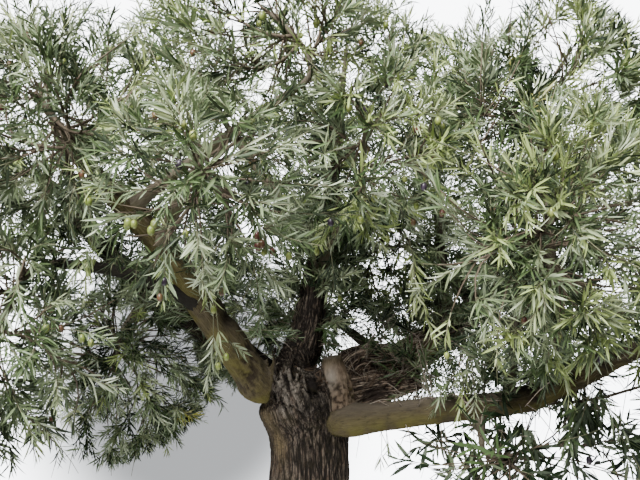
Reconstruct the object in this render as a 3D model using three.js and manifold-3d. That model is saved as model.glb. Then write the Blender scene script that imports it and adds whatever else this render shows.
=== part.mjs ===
// An old olive tree in a round terracotta pot, at real size: millimetres, +Z up, +X to the viewer's
// right, +Y away from the viewer, origin at the centre of the pot's flat underside.
//
// The tree is an assembly. A short fluted trunk stands on the soil and ends in a low, rough head.
// Five boughs and a pruned stub leave that head, and thinner branches leave the boughs. Each bough or
// branch ends where it enters one mass of foliage, which is a stem with twigs and leaves of its own.
import * as THREE from "three";
import { mergeVertices } from "three/addons/utils/BufferGeometryUtils.js";
import Module from "manifold-3d";

const wasm = await Module();
wasm.setup();

// Driving sizes of the pot and the soil
const POT_HEIGHT = 520;
const POT_FOOT_RADIUS = 270;
const POT_RIM_RADIUS = 370;
const POT_WALL = 24;
const POT_FLOOR = 30;
const POT_BAND_HEIGHT = 62;
const POT_BAND_DEPTH = 12;
const POT_SIDES = 32;
const DRAIN_HOLES = 3;
const DRAIN_HOLE_RADIUS = 12;
const DRAIN_CIRCLE_RADIUS = 130;
const SOIL_TOP = 468;

// Room left between pieces that touch on the real tree
const GAP = 0.3;

// Driving sizes of the trunk: its foot on the soil, its waist below the fork and its head
const TRUNK_FOOT = SOIL_TOP + GAP;
const TRUNK_WAIST_RADIUS = 137;
const TRUNK_FLARE_RADIUS = 205;
const FLARE_HEIGHT = 68;
const ROOT_RIDGES = 5;
const ROOT_RIDGE_HEIGHT = 150;
const ROOT_RIDGE_DEPTH = 0.1;
const FLUTES = 3;
const FLUTE_DEPTH = 0.025;
const FLUTE_TWIST = 190;
const SHOULDER_HEIGHT = 985;
const SHOULDER_SWELL = 24;
const SHOULDER_SPREAD = 75;
const HEAD_TOP = 1075;
const HEAD_ROUNDING = 85;
const TRUNK_SIDES = 16;
const TRUNK_RINGS = 12;

// How finely the boughs and branches are faceted
const BOUGH_SIDES = 9;
const BOUGH_RINGS = 7;
const BRANCH_SIDES = 6;
const BRANCH_RINGS = 4;

// Driving sizes of the foliage: a leaf here stands for a spray of real ones
const LEAF_LENGTH = 212;
const LEAF_WIDTH = 56;
const LEAF_THICKNESS = 7;
const LEAF_WIDEST = 0.42;
const LEAF_SUNK = 2;
const LEAF_STATIONS = [0.42, 0.6, 0.92, 0.92];
const LEAF_SHORTENING = [1, 0.8, 0.62];
const TWIGS_PER_MASS = 5;
const TWIG_RADIUS = 7;
const TWIG_BEND = 0.16;
const TWIG_LEAST = 110;
const TWIG_SHORTENING = [1, 0.8, 0.6, 0.45];
const STEM_TIP_RADIUS = 8;
const LIMB_CLEARANCE = 12;
const SPACE_MARGIN = 0.02;
const FRUIT_RADIUS = 11;
const FRUIT_LENGTH = 27;
const FRUIT_STATION = 0.77;
const FIRST_SEED = 11;
const SEED_STEP = 7;

const GOLDEN_ANGLE = Math.PI * (3 - Math.sqrt(5));
const UP = new THREE.Vector3(0, 0, 1);

const bark = new THREE.MeshStandardMaterial({ color: 0x5f5243, roughness: 0.95 });
const smoothBark = new THREE.MeshStandardMaterial({ color: 0x86775a, roughness: 0.85 });
const sawnWood = new THREE.MeshStandardMaterial({ color: 0x8d8172, roughness: 0.9 });
const foliage = new THREE.MeshStandardMaterial({ color: 0x74835f, roughness: 0.6 });
const terracotta = new THREE.MeshStandardMaterial({ color: 0xa8613f, roughness: 0.85 });
const soilBrown = new THREE.MeshStandardMaterial({ color: 0x3b2d22, roughness: 1.0 });

// Boughs leave the trunk's head. Each runs through a few points on its axis, from its base to its
// tip, and tapers from its first radius to its last. A heel is the share of a bough's length over
// which its rounded lower end swells out of the trunk.
const BOUGHS = {
  leader: {
    parents: ["trunk"],
    through: [
      [-60, 18, 950], [-68, 36, 1065], [-22, 90, 1172],
      [27, 160, 1436], [66, 200, 1666], [94, 220, 1901],
    ],
    radii: [84, 70, 54, 46, 34, 21],
  },
  bough_left: {
    parents: ["trunk", "leader"],
    through: [[-144, -56, 1003], [-352, -150, 1340], [-484, -250, 1550], [-590, -335, 1690]],
    radii: [64, 56, 46, 34],
    heel: 0.07,
    rings: 11,
    material: smoothBark,
  },
  bough_rear_left: {
    parents: ["trunk", "leader", "bough_left"],
    through: [[-90, 66, 990], [-399, 150, 1218], [-628, 225, 1347], [-872, 300, 1558], [-1060, 360, 1760]],
    radii: [62, 54, 47, 35, 22],
  },
  bough_right: {
    parents: ["trunk"],
    through: [[66, -104, 934], [430, -115, 978], [700, -205, 1040], [900, -335, 1185], [1110, -430, 1320]],
    radii: [56, 45, 39, 38, 26],
    heel: 0.05,
    rings: 11,
    material: smoothBark,
  },
  bough_rear_right: {
    parents: ["trunk", "leader"],
    through: [
      [92, 72, 945], [152, 128, 1072], [262, 165, 1088], [361, 190, 1096],
      [619, 300, 1240], [790, 400, 1350], [960, 490, 1490],
    ],
    radii: [72, 72, 70, 63, 45, 36, 24],
    rings: 10,
  },
  burr: {
    parents: ["trunk", "bough_right", "bough_rear_right"],
    through: [[120, 40, 985], [250, 60, 1012], [405, 70, 1036]],
    radii: [60, 56, 34],
    rings: 5,
  },
  pruned_stub: {
    parents: ["trunk", "bough_right", "leader", "bough_rear_right", "burr"],
    through: [[100, -70, 945], [92, -68, 1050], [74, -64, 1148]],
    radii: [62, 55, 33],
    rings: 4,
    material: smoothBark,
  },
  sawn_stub: {
    parents: ["bough_rear_right"],
    through: [[462, 226, 1142], [440, 96, 1152]],
    radii: [34, 31],
    rings: 3,
    material: sawnWood,
  },
};

// Branches leave a bough at a share of its length and run to a point where their mass begins.
const BRANCHES = {
  left_low: { parent: "bough_left", at: 0.45, to: [-730, -420, 1480], radii: [25, 13], arch: 70 },
  front: { parent: "bough_left", at: 0.74, to: [-300, -560, 1730], radii: [22, 12], arch: 40 },
  top_front: { parent: "bough_left", at: 0.92, to: [-20, -450, 1985], radii: [19, 10], arch: 20 },
  far_left_low: { parent: "bough_rear_left", at: 0.5, to: [-690, 115, 1225], radii: [22, 12], arch: 30 },
  rear_left: { parent: "bough_rear_left", at: 0.56, to: [-720, 600, 1540], radii: [25, 13], arch: 30 },
  left_top: { parent: "bough_rear_left", at: 0.83, to: [-930, 50, 1960], radii: [20, 11], arch: -40 },
  rear: { parent: "leader", at: 0.36, to: [20, 600, 1640], radii: [28, 14], arch: 30 },
  top_left: { parent: "leader", at: 0.6, to: [-320, 130, 1990], radii: [26, 12], arch: -30 },
  inner_right: { parent: "leader", at: 0.46, to: [250, 330, 1620], radii: [22, 12], arch: 20 },
  centre_front: { parent: "leader", at: 0.5, to: [130, -90, 1660], radii: [20, 11], arch: 10 },
  right_front: { parent: "bough_right", at: 0.5, to: [600, -430, 1430], radii: [15, 10], arch: -20 },
  right_top: { parent: "bough_right", at: 0.66, to: [760, -170, 1810], radii: [22, 12], arch: -30 },
  right_under: { parent: "bough_right", at: 0.42, to: [560, -190, 885], radii: [14, 10], arch: 0 },
  rear_right_top: { parent: "bough_rear_right", at: 0.5, to: [500, 290, 1900], radii: [28, 13], arch: -20 },
  rear_right: { parent: "bough_rear_right", at: 0.66, to: [560, 650, 1430], radii: [24, 13], arch: 25 },
  rear_low: { parent: "bough_rear_right", at: 0.25, to: [40, 500, 1230], radii: [22, 12], arch: 30 },
};

// Masses of foliage: the limb that each grows from, and the centre and half-sizes of its space.
// A mass with lift has twigs that rise, and one without hangs.
const MASSES = {
  left_front: { limb: "bough_left", centre: [-710, -450, 1890], size: [350, 350, 360], lift: 0.5 },
  left_hanging: { limb: "branch_left_low", centre: [-830, -480, 1290], size: [350, 330, 400], lift: -0.5 },
  front: { limb: "branch_front", centre: [-230, -620, 1680], size: [360, 320, 330], lift: 0 },
  top_front: { limb: "branch_top_front", centre: [-90, -390, 2170], size: [380, 350, 320], lift: 0.6 },
  centre_front: { limb: "branch_centre_front", centre: [160, -340, 1840], size: [340, 310, 340], lift: 0.2 },
  far_left: { limb: "bough_rear_left", centre: [-1090, 270, 1810], size: [330, 380, 370], lift: 0.3 },
  far_left_hanging: {
    limb: "branch_far_left_low",
    centre: [-730, 130, 1110],
    size: [450, 370, 400],
    lift: -0.6,
  },
  rear_left: { limb: "branch_rear_left", centre: [-720, 750, 1560], size: [400, 350, 450], lift: 0 },
  left_top: { limb: "branch_left_top", centre: [-920, -20, 2120], size: [340, 370, 310], lift: 0.7 },
  rear: { limb: "branch_rear", centre: [-10, 740, 1890], size: [430, 370, 430], lift: 0.2 },
  top_left: { limb: "branch_top_left", centre: [-450, 170, 2180], size: [370, 380, 330], lift: 0.7 },
  inner_right: { limb: "branch_inner_right", centre: [350, 430, 1600], size: [340, 310, 430], lift: 0 },
  top: { limb: "leader", centre: [130, 190, 2220], size: [390, 380, 340], lift: 0.8 },
  right_end: { limb: "bough_right", centre: [1150, -410, 1420], size: [350, 370, 460], lift: 0.1 },
  right_front: { limb: "branch_right_front", centre: [640, -540, 1570], size: [400, 340, 400], lift: 0.1 },
  right_top: { limb: "branch_right_top", centre: [710, -150, 2010], size: [410, 370, 370], lift: 0.7 },
  right_hanging: { limb: "branch_right_under", centre: [640, -220, 860], size: [460, 300, 230], lift: -0.4 },
  rear_right_end: { limb: "bough_rear_right", centre: [1030, 430, 1560], size: [380, 420, 470], lift: 0 },
  rear_right_top: {
    limb: "branch_rear_right_top",
    centre: [560, 370, 2140],
    size: [370, 380, 340],
    lift: 0.6,
  },
  rear_right: { limb: "branch_rear_right", centre: [520, 830, 1430], size: [390, 330, 420], lift: -0.2 },
  rear_hanging: { limb: "branch_rear_low", centre: [-170, 650, 1150], size: [420, 310, 340], lift: -0.5 },
};

// The masses that carry olives, which a viewer sees from a step away
const FRUITING = ["front", "left_hanging", "left_front", "right_front"];

const vector = (point) => new THREE.Vector3(...point);

// A repeatable row of numbers from 0 up to 1, the same in any language with whole numbers.
function seeded(seed) {
  let state = seed;
  return () => {
    state = (state * 1664525 + 1013904223) % 4294967296;
    return state / 4294967296;
  };
}

// A closed geometry as a solid: only its places are kept, and points that coincide become one.
function solidOf(geometry) {
  const bare = new THREE.BufferGeometry();
  bare.setAttribute("position", geometry.getAttribute("position"));
  bare.setIndex(geometry.index);
  const merged = mergeVertices(bare, 1e-3);
  return new wasm.Manifold(
    new wasm.Mesh({
      numProp: 3,
      vertProperties: new Float32Array(merged.getAttribute("position").array),
      triVerts: new Uint32Array(merged.index.array),
    }),
  );
}

function geometryOf(solid) {
  const mesh = solid.getMesh();
  const geometry = new THREE.BufferGeometry();
  geometry.setAttribute("position", new THREE.BufferAttribute(mesh.vertProperties, 3));
  geometry.setIndex(new THREE.BufferAttribute(mesh.triVerts, 1));
  geometry.computeVertexNormals();
  return geometry;
}

// The largest piece of a solid, so that a scrap that a cut left loose is dropped.
function largestPiece(solid) {
  return solid.decompose().reduce((best, piece) => (piece.volume() > best.volume() ? piece : best));
}

// A value between the numbers of a row, at a share of the way along it.
function alongRow(row, share) {
  const place = Math.min(Math.max(share, 0), 1) * (row.length - 1);
  const index = Math.min(Math.floor(place), row.length - 2);
  return THREE.MathUtils.lerp(row[index], row[index + 1], place - index);
}

// A closed cylinder bent along a curve: radiusAt(share, angle) gives its radius at each point.
function bentCylinder(curve, rings, sides, radiusAt) {
  const geometry = new THREE.CylinderGeometry(1, 1, 1, sides, rings);
  const frames = curve.computeFrenetFrames(rings, false);
  const places = geometry.getAttribute("position");
  const point = new THREE.Vector3();
  for (let i = 0; i < places.count; i += 1) {
    point.fromBufferAttribute(places, i);
    const ring = Math.round((point.y + 0.5) * rings);
    const share = ring / rings;
    const angle = Math.atan2(point.x, point.z);
    const reach = Math.hypot(point.x, point.z) * radiusAt(share, angle);
    const moved = curve
      .getPointAt(share)
      .addScaledVector(frames.binormals[ring], Math.sin(angle) * reach)
      .addScaledVector(frames.normals[ring], Math.cos(angle) * reach);
    places.setXYZ(i, moved.x, moved.y, moved.z);
  }
  return geometry;
}

// The trunk's axis is almost upright, and its head swings a little to the left.
const trunkCurve = new THREE.CatmullRomCurve3([
  new THREE.Vector3(0, 0, TRUNK_FOOT),
  new THREE.Vector3(0, 0, 700),
  new THREE.Vector3(-2, 0, 860),
  new THREE.Vector3(-26, 4, SHOULDER_HEIGHT),
  new THREE.Vector3(-62, 10, HEAD_TOP),
]);

// The trunk's mean radius at a height: wide at the foot, a waist, shoulders under the boughs and a
// head that rounds over.
function trunkRadiusAtHeight(height) {
  const flare = Math.exp(-(height - TRUNK_FOOT) / FLARE_HEIGHT);
  const body = TRUNK_WAIST_RADIUS + (TRUNK_FLARE_RADIUS - TRUNK_WAIST_RADIUS) * flare;
  const shoulders = SHOULDER_SWELL * Math.exp(-(((height - SHOULDER_HEIGHT) / SHOULDER_SPREAD) ** 2));
  const overTop = Math.max(0, (height - HEAD_TOP + HEAD_ROUNDING) / HEAD_ROUNDING);
  return (body + shoulders) * Math.sqrt(Math.max(1 - overTop ** 2, 0.12));
}

// Roots press out round the foot in rounded ridges that fade into shallow flutes up the trunk.
function trunkSolid(grow, onward) {
  const geometry = bentCylinder(trunkCurve, TRUNK_RINGS, TRUNK_SIDES, (share, angle) => {
    const height = trunkCurve.getPointAt(share).z;
    const nearFoot = Math.exp(-(height - TRUNK_FOOT) / ROOT_RIDGE_HEIGHT);
    const ridges = Math.cos(ROOT_RIDGES * angle + 0.6) * (0.02 + ROOT_RIDGE_DEPTH * nearFoot);
    const flutes = Math.cos(FLUTES * angle + height / FLUTE_TWIST) * FLUTE_DEPTH;
    return trunkRadiusAtHeight(height) * (1 + ridges + flutes) + grow;
  });
  return solidOf(movedOnward(geometry, trunkCurve, onward));
}

// A geometry moved along its curve's end direction.
function movedOnward(geometry, curve, distance) {
  const move = curve.getTangentAt(1).multiplyScalar(distance);
  return geometry.translate(move.x, move.y, move.z);
}

// A limb grown by the gap, round its sides and past its end, which cuts whatever leaves the limb.
function grownByGap(solidAt) {
  return solidAt(GAP, 0).add(solidAt(GAP, GAP));
}

// Each limb keeps its axis, its radii, its solid and the grown solid.
const limbs = {
  trunk: {
    curve: trunkCurve,
    radii: null,
    solid: trunkSolid(0, 0),
    clearance: grownByGap(trunkSolid),
    material: bark,
  },
};

function limbRadius(limb, share) {
  if (!limb.radii) return trunkRadiusAtHeight(limb.curve.getPointAt(share).z);
  const heel = limb.heel && share < limb.heel ? Math.sqrt(1 - 0.85 * (1 - share / limb.heel) ** 2) : 1;
  return alongRow(limb.radii, share) * heel;
}

function addLimb(name, parents, curve, radii, heel, material, rings, sides) {
  const limb = { curve, radii, heel, material };
  const solidAt = (grow, onward) => {
    const geometry = bentCylinder(curve, rings, sides, (share, angle) => {
      const unround = 1 + 0.035 * Math.cos(2 * angle + 7 * share) + 0.02 * Math.cos(3 * angle - 5 * share);
      return limbRadius(limb, share) * unround + grow;
    });
    return solidOf(movedOnward(geometry, curve, onward));
  };
  let solid = solidAt(0, 0);
  for (const parent of parents) solid = solid.subtract(limbs[parent].clearance);
  limb.solid = largestPiece(solid);
  limb.clearance = grownByGap(solidAt);
  limbs[name] = limb;
}

for (const [name, bough] of Object.entries(BOUGHS)) {
  const curve = new THREE.CatmullRomCurve3(bough.through.map(vector));
  const rings = bough.rings ?? BOUGH_RINGS;
  addLimb(name, bough.parents, curve, bough.radii, bough.heel, bough.material ?? bark, rings, BOUGH_SIDES);
}

// A branch leaves its bough's axis, arches up or sideways by its arch, and ends at its mass.
for (const [name, branch] of Object.entries(BRANCHES)) {
  const from = limbs[branch.parent].curve.getPointAt(branch.at);
  const to = vector(branch.to);
  const middle = from.clone().lerp(to, 0.5).addScaledVector(UP, branch.arch);
  const curve = new THREE.QuadraticBezierCurve3(from, middle, to);
  addLimb(`branch_${name}`, [branch.parent], curve, branch.radii, 0, smoothBark, BRANCH_RINGS, BRANCH_SIDES);
}

// Points along every limb, to keep twigs and leaves off the wood.
const woodSamples = Object.values(limbs).flatMap((limb) =>
  Array.from({ length: 41 }, (_, i) => ({
    point: limb.curve.getPointAt(i / 40),
    radius: limbRadius(limb, i / 40),
  })),
);

function clearOfWood(point, room) {
  return woodSamples.every((wood) => wood.point.distanceTo(point) > wood.radius + room);
}

// How far out a point lies in a mass's space: 0 at its centre and 1 at its surface.
function depthIn(mass, point) {
  const [x, y, z] = ["x", "y", "z"].map((axis, i) => (point[axis] - mass.centre[i]) / mass.size[i]);
  return Math.hypot(x, y, z);
}

// A point is in a mass's own space if it is inside its surface and deeper in it than in any other.
function inOwnSpace(mass, point) {
  const depth = depthIn(mass, point);
  if (depth > 1) return false;
  return Object.values(MASSES).every(
    (other) => other === mass || depthIn(other, point) > depth + SPACE_MARGIN,
  );
}

// A leaf: a blade of six faces, pointed at both ends, flat beneath and ridged along its midrib.
function leafGeometry(root, direction, face, length) {
  const side = new THREE.Vector3().crossVectors(direction, face).normalize();
  const geometry = new THREE.SphereGeometry(1, 3, 2);
  const places = geometry.getAttribute("position");
  const point = new THREE.Vector3();
  for (let i = 0; i < places.count; i += 1) {
    point.fromBufferAttribute(places, i);
    const along = Math.abs(point.y) < 0.5 ? LEAF_WIDEST : (point.y + 1) / 2;
    const across = (point.z / Math.sin(Math.PI / 3)) * (LEAF_WIDTH / 2);
    const above = -point.x * (LEAF_THICKNESS / 1.5);
    const moved = root
      .clone()
      .addScaledVector(direction, along * length)
      .addScaledVector(side, across)
      .addScaledVector(face, above);
    places.setXYZ(i, moved.x, moved.y, moved.z);
  }
  return geometry;
}

// The stem of a mass leaves the limb's tip straight on, and turns up or down into the mass.
function stemCurve(mass) {
  const limb = limbs[mass.limb];
  const tip = limb.curve.getPointAt(1);
  const onward = limb.curve.getTangentAt(1);
  const root = tip.clone().addScaledVector(onward, GAP);
  const heart = vector(mass.centre);
  const reach = root.distanceTo(heart);
  const turn = root.clone().addScaledVector(onward, reach * 0.5);
  const end = heart.clone().addScaledVector(heart.clone().sub(root).normalize(), reach * 0.25);
  return new THREE.QuadraticBezierCurve3(root, turn, end);
}

// The goal of twig k of a mass: the goals are spread evenly over the mass's surface.
function twigGoal(mass, k, count, random) {
  const height = 1 - (2 * k + 1) / count;
  const ring = Math.sqrt(1 - height * height);
  const angle = k * GOLDEN_ANGLE + mass.turn;
  const reach = 0.97 + 0.03 * random();
  return new THREE.Vector3(
    mass.centre[0] + mass.size[0] * ring * Math.cos(angle) * reach,
    mass.centre[1] + mass.size[1] * ring * Math.sin(angle) * reach,
    mass.centre[2] + mass.size[2] * height * reach,
  );
}

// Whether a twig keeps off the wood, and keeps to its mass's space once it has left the stem.
function twigFits(mass, curve) {
  return Array.from({ length: 9 }, (_, i) => i / 8).every((share) => {
    const point = curve.getPoint(share);
    return clearOfWood(point, TWIG_RADIUS + LIMB_CLEARANCE) && (share < 0.3 || inOwnSpace(mass, point));
  });
}

function leafFits(mass, geometry, root, direction, length) {
  const places = geometry.getAttribute("position");
  const outline = Array.from({ length: places.count }, (_, i) =>
    new THREE.Vector3().fromBufferAttribute(places, i),
  );
  const midrib = [0.15, 0.3, 0.5, 0.65, 0.8, 0.9].map((share) =>
    root.clone().addScaledVector(direction, share * length),
  );
  return [...outline, ...midrib].every(
    (point) => inOwnSpace(mass, point) && clearOfWood(point, LIMB_CLEARANCE),
  );
}

// A leaf that keeps to its mass's space and crosses no other piece: the full one or a shorter one,
// or none where neither fits.
function leafSolid(mass, others, { root, direction, face, length }) {
  for (const part of LEAF_SHORTENING) {
    const geometry = leafGeometry(root, direction, face, length * part);
    if (leafFits(mass, geometry, root, direction, length * part)) {
      const leaf = solidOf(geometry);
      if (others.every((other) => leaf.intersect(other).isEmpty())) return leaf;
    }
  }
  return null;
}

// The curve of a twig from the stem towards its goal, stopping short by the length of its last
// leaf, or further in where it must. A mass with lift has twigs that turn up.
function twigCurve(mass, from, goal, lastLeaf) {
  const outward = goal.clone().sub(from);
  const whole = outward.length();
  outward.normalize();
  for (const part of TWIG_SHORTENING) {
    const length = Math.max(whole - lastLeaf, TWIG_LEAST) * part;
    const end = from.clone().addScaledVector(outward, length);
    const middle = from.clone().lerp(end, 0.5).addScaledVector(UP, -mass.lift * TWIG_BEND * whole);
    const curve = new THREE.QuadraticBezierCurve3(from, middle, end);
    if (twigFits(mass, curve)) return curve;
  }
  return null;
}

// Where a twig's leaves grow: one at its end, and others that leave its three flat sides.
function leafPlaces(curve, lastLeaf, random) {
  const steps = 20;
  const frames = curve.computeFrenetFrames(steps, false);
  const sideways = (step, angle) =>
    frames.normals[step]
      .clone()
      .multiplyScalar(Math.cos(angle))
      .addScaledVector(frames.binormals[step], Math.sin(angle));
  const placeAt = (step, direction, face, length) => ({
    station: step,
    root: curve.getPointAt(step / steps).addScaledVector(direction, -LEAF_SUNK),
    direction,
    face,
    length,
  });
  const last = placeAt(steps, frames.tangents[steps], sideways(steps, 2 * Math.PI * random()), lastLeaf);
  const others = LEAF_STATIONS.map((share, i) => {
    const step = Math.round(share * steps);
    const angle = Math.PI / 3 + (i * 2 * Math.PI) / 3;
    const direction = frames.tangents[step]
      .clone()
      .multiplyScalar(0.66)
      .addScaledVector(sideways(step, angle), 0.75)
      .normalize();
    const flat = sideways(step, angle + Math.PI / 2);
    const face = new THREE.Vector3().crossVectors(direction, flat).normalize();
    face.applyAxisAngle(direction, (random() - 0.5) * 2);
    return placeAt(step, direction, face, LEAF_LENGTH * (0.8 + 0.3 * random()));
  });
  return [last, ...others];
}

// An olive that hangs under a twig, sunk a little in it.
function oliveSolid(curve) {
  const centre = curve.getPoint(FRUIT_STATION).addScaledVector(UP, -FRUIT_LENGTH * 0.4);
  const olive = new THREE.IcosahedronGeometry(1, 0);
  olive.scale(FRUIT_RADIUS, FRUIT_RADIUS, FRUIT_LENGTH / 2).translate(centre.x, centre.y, centre.z);
  return solidOf(olive);
}

// One mass of foliage: its stem, the twigs that leave the stem towards their goals, their leaves
// and, on some masses, an olive under every second twig.
function massSolid(name, mass, seed) {
  const random = seeded(seed);
  const stem = stemCurve(mass);
  const rootRadius = alongRow(limbs[mass.limb].radii, 1) * 0.96;
  const stemTaper = (share) => THREE.MathUtils.lerp(rootRadius, STEM_TIP_RADIUS, share ** 0.8);
  const stemSolid = solidOf(bentCylinder(stem, 3, 4, stemTaper));
  const twigTaper = (share) => THREE.MathUtils.lerp(TWIG_RADIUS, TWIG_RADIUS * 0.75, share);
  const twigs = [];
  for (let k = 0; k < TWIGS_PER_MASS; k += 1) {
    const from = stem.getPoint(0.45 + 0.5 * ((k * 0.618) % 1));
    const goal = twigGoal(mass, k, TWIGS_PER_MASS, random);
    const lastLeaf = LEAF_LENGTH * (0.85 + 0.25 * random());
    const curve = twigCurve(mass, from, goal, lastLeaf);
    if (curve) {
      const pieces = [solidOf(bentCylinder(curve, 2, 3, twigTaper))];
      if (FRUITING.includes(name) && k % 2 === 1) pieces.push(oliveSolid(curve));
      twigs.push({ curve, pieces, places: leafPlaces(curve, lastLeaf, random) });
    }
  }
  for (const twig of twigs) {
    const others = [stemSolid, ...twigs.filter((other) => other !== twig).flatMap((other) => other.pieces)];
    const own = [];
    for (const place of twig.places) {
      const apart = own.filter((leaf) => leaf.station !== place.station).map((leaf) => leaf.solid);
      const solid = leafSolid(mass, [...others, ...apart], place);
      if (solid) own.push({ station: place.station, solid });
    }
    twig.pieces.push(...own.map((leaf) => leaf.solid));
  }
  return largestPiece(wasm.Manifold.union([stemSolid, ...twigs.flatMap((twig) => twig.pieces)]));
}

// The pot: a tapered round wall with a plain band under its rim, a floor and a ring of drain holes.
function potSolid() {
  const slope = (POT_RIM_RADIUS - POT_BAND_DEPTH - POT_FOOT_RADIUS) / POT_HEIGHT;
  const outside = (height) => POT_FOOT_RADIUS + slope * height;
  const bandFoot = POT_HEIGHT - POT_BAND_HEIGHT;
  const profile = [
    [0, 0],
    [POT_FOOT_RADIUS - 6, 0],
    [POT_FOOT_RADIUS, 6],
    [outside(bandFoot), bandFoot],
    [outside(bandFoot) + POT_BAND_DEPTH, bandFoot + 8],
    [POT_RIM_RADIUS, POT_HEIGHT - 8],
    [POT_RIM_RADIUS - 8, POT_HEIGHT],
    [outside(POT_HEIGHT) - POT_WALL + 6, POT_HEIGHT],
    [outside(POT_HEIGHT) - POT_WALL, POT_HEIGHT - 8],
    [outside(POT_FLOOR) - POT_WALL, POT_FLOOR],
    [0, POT_FLOOR],
  ].map(([radius, height]) => new THREE.Vector2(radius, height));
  const turned = new THREE.LatheGeometry(profile, POT_SIDES).rotateX(Math.PI / 2);
  let pot = solidOf(turned);
  for (let i = 0; i < DRAIN_HOLES; i += 1) {
    const angle = (i * 2 * Math.PI) / DRAIN_HOLES;
    const hole = new THREE.CylinderGeometry(DRAIN_HOLE_RADIUS, DRAIN_HOLE_RADIUS, 3 * POT_FLOOR, 10)
      .rotateX(Math.PI / 2)
      .translate(DRAIN_CIRCLE_RADIUS * Math.cos(angle), DRAIN_CIRCLE_RADIUS * Math.sin(angle), POT_FLOOR / 2);
    pot = pot.subtract(solidOf(hole));
  }
  return pot;
}

// The soil fills the pot from its floor to a little under the rim, and is level under the trunk.
function soilSolid() {
  const slope = (POT_RIM_RADIUS - POT_BAND_DEPTH - POT_FOOT_RADIUS) / POT_HEIGHT;
  const inside = (height) => POT_FOOT_RADIUS + slope * height - POT_WALL - 4 * GAP;
  const profile = [
    [0, POT_FLOOR + GAP],
    [inside(POT_FLOOR), POT_FLOOR + GAP],
    [inside(SOIL_TOP - 14), SOIL_TOP - 14],
    [inside(SOIL_TOP) - 40, SOIL_TOP],
    [0, SOIL_TOP],
  ].map(([radius, height]) => new THREE.Vector2(radius, height));
  return solidOf(new THREE.LatheGeometry(profile, POT_SIDES).rotateX(Math.PI / 2));
}

const tree = new THREE.Group();
tree.name = "potted_olive_tree";

function addPiece(name, solid, material) {
  const mesh = new THREE.Mesh(geometryOf(solid), material);
  mesh.name = name;
  tree.add(mesh);
}

addPiece("pot", potSolid(), terracotta);
addPiece("soil", soilSolid(), soilBrown);
for (const [name, limb] of Object.entries(limbs)) addPiece(name, limb.solid, limb.material);

// Each mass has a seed of its own, which also turns its twigs.
let seed = FIRST_SEED;
for (const [name, mass] of Object.entries(MASSES)) {
  mass.turn = seed;
  addPiece(`foliage_${name}`, massSolid(name, mass, seed), foliage);
  seed += SEED_STEP;
}

export default tree;
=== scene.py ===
# %% [markdown]
# # An old olive tree in a terracotta pot
#
# The plain model of the tree is already there: its trunk, boughs, branches and masses of foliage at
# their real size, and the pot and soil they stand in. This notebook grows the fine surface round it:
# bark with relief, twigs, well over a hundred thousand leaves, olives, and the finish of the clay.
# Nothing is moved: each new piece lies where the plain piece that it stands for lies.

# %% Load the plain model
import math

import bpy
import numpy as np
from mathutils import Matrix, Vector, noise


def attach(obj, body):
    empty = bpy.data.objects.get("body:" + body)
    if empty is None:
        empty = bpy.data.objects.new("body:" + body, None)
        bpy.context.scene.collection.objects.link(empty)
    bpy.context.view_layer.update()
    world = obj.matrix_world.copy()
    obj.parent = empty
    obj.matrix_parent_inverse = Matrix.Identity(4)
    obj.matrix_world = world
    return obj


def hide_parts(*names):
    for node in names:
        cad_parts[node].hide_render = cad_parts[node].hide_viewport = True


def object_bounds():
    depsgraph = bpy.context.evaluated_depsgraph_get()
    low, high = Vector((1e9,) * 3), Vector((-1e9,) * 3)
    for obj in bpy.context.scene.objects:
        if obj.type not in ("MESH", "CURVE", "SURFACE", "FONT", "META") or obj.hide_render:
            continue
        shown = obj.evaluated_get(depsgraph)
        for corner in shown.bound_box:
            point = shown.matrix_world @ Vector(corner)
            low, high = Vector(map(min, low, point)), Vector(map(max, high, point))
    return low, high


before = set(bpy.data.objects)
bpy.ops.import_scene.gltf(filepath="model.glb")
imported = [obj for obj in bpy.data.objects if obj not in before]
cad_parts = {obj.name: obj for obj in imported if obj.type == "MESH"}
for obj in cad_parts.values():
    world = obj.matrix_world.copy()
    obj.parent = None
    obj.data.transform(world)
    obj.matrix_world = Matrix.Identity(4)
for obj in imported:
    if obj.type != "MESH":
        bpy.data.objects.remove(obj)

MM = 0.001
cad_low, cad_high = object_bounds()
print("plain model from", [round(v, 3) for v in cad_low], "to", [round(v, 3) for v in cad_high])

# %% [markdown]
# ## The camera
#
# The viewer stands about two metres in front of the trunk, at the height of the crown's middle, and
# looks level. A level camera keeps upright things upright. The focal length follows from how wide a
# stretch of the crown fills the picture.

# %% Place the camera
CAMERA_PLACE = (0.035, -2.2, 1.55)
FOCAL_LENGTH = 34.875
SENSOR_WIDTH = 36.0

camera_data = bpy.data.cameras.new("camera")
camera_data.lens = FOCAL_LENGTH
camera_data.sensor_width = SENSOR_WIDTH
camera = bpy.data.objects.new("camera", camera_data)
camera.location = CAMERA_PLACE
camera.rotation_euler = (math.radians(90), 0, 0)
bpy.context.scene.collection.objects.link(camera)
bpy.context.scene.camera = camera
print("camera at", CAMERA_PLACE)

# %% [markdown]
# ## Making meshes from arrays
#
# A crown has far too many leaves to add their faces one by one. So leaves, twigs and bark are worked
# out as whole arrays of points, and one helper makes every mesh from them in one go.

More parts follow.
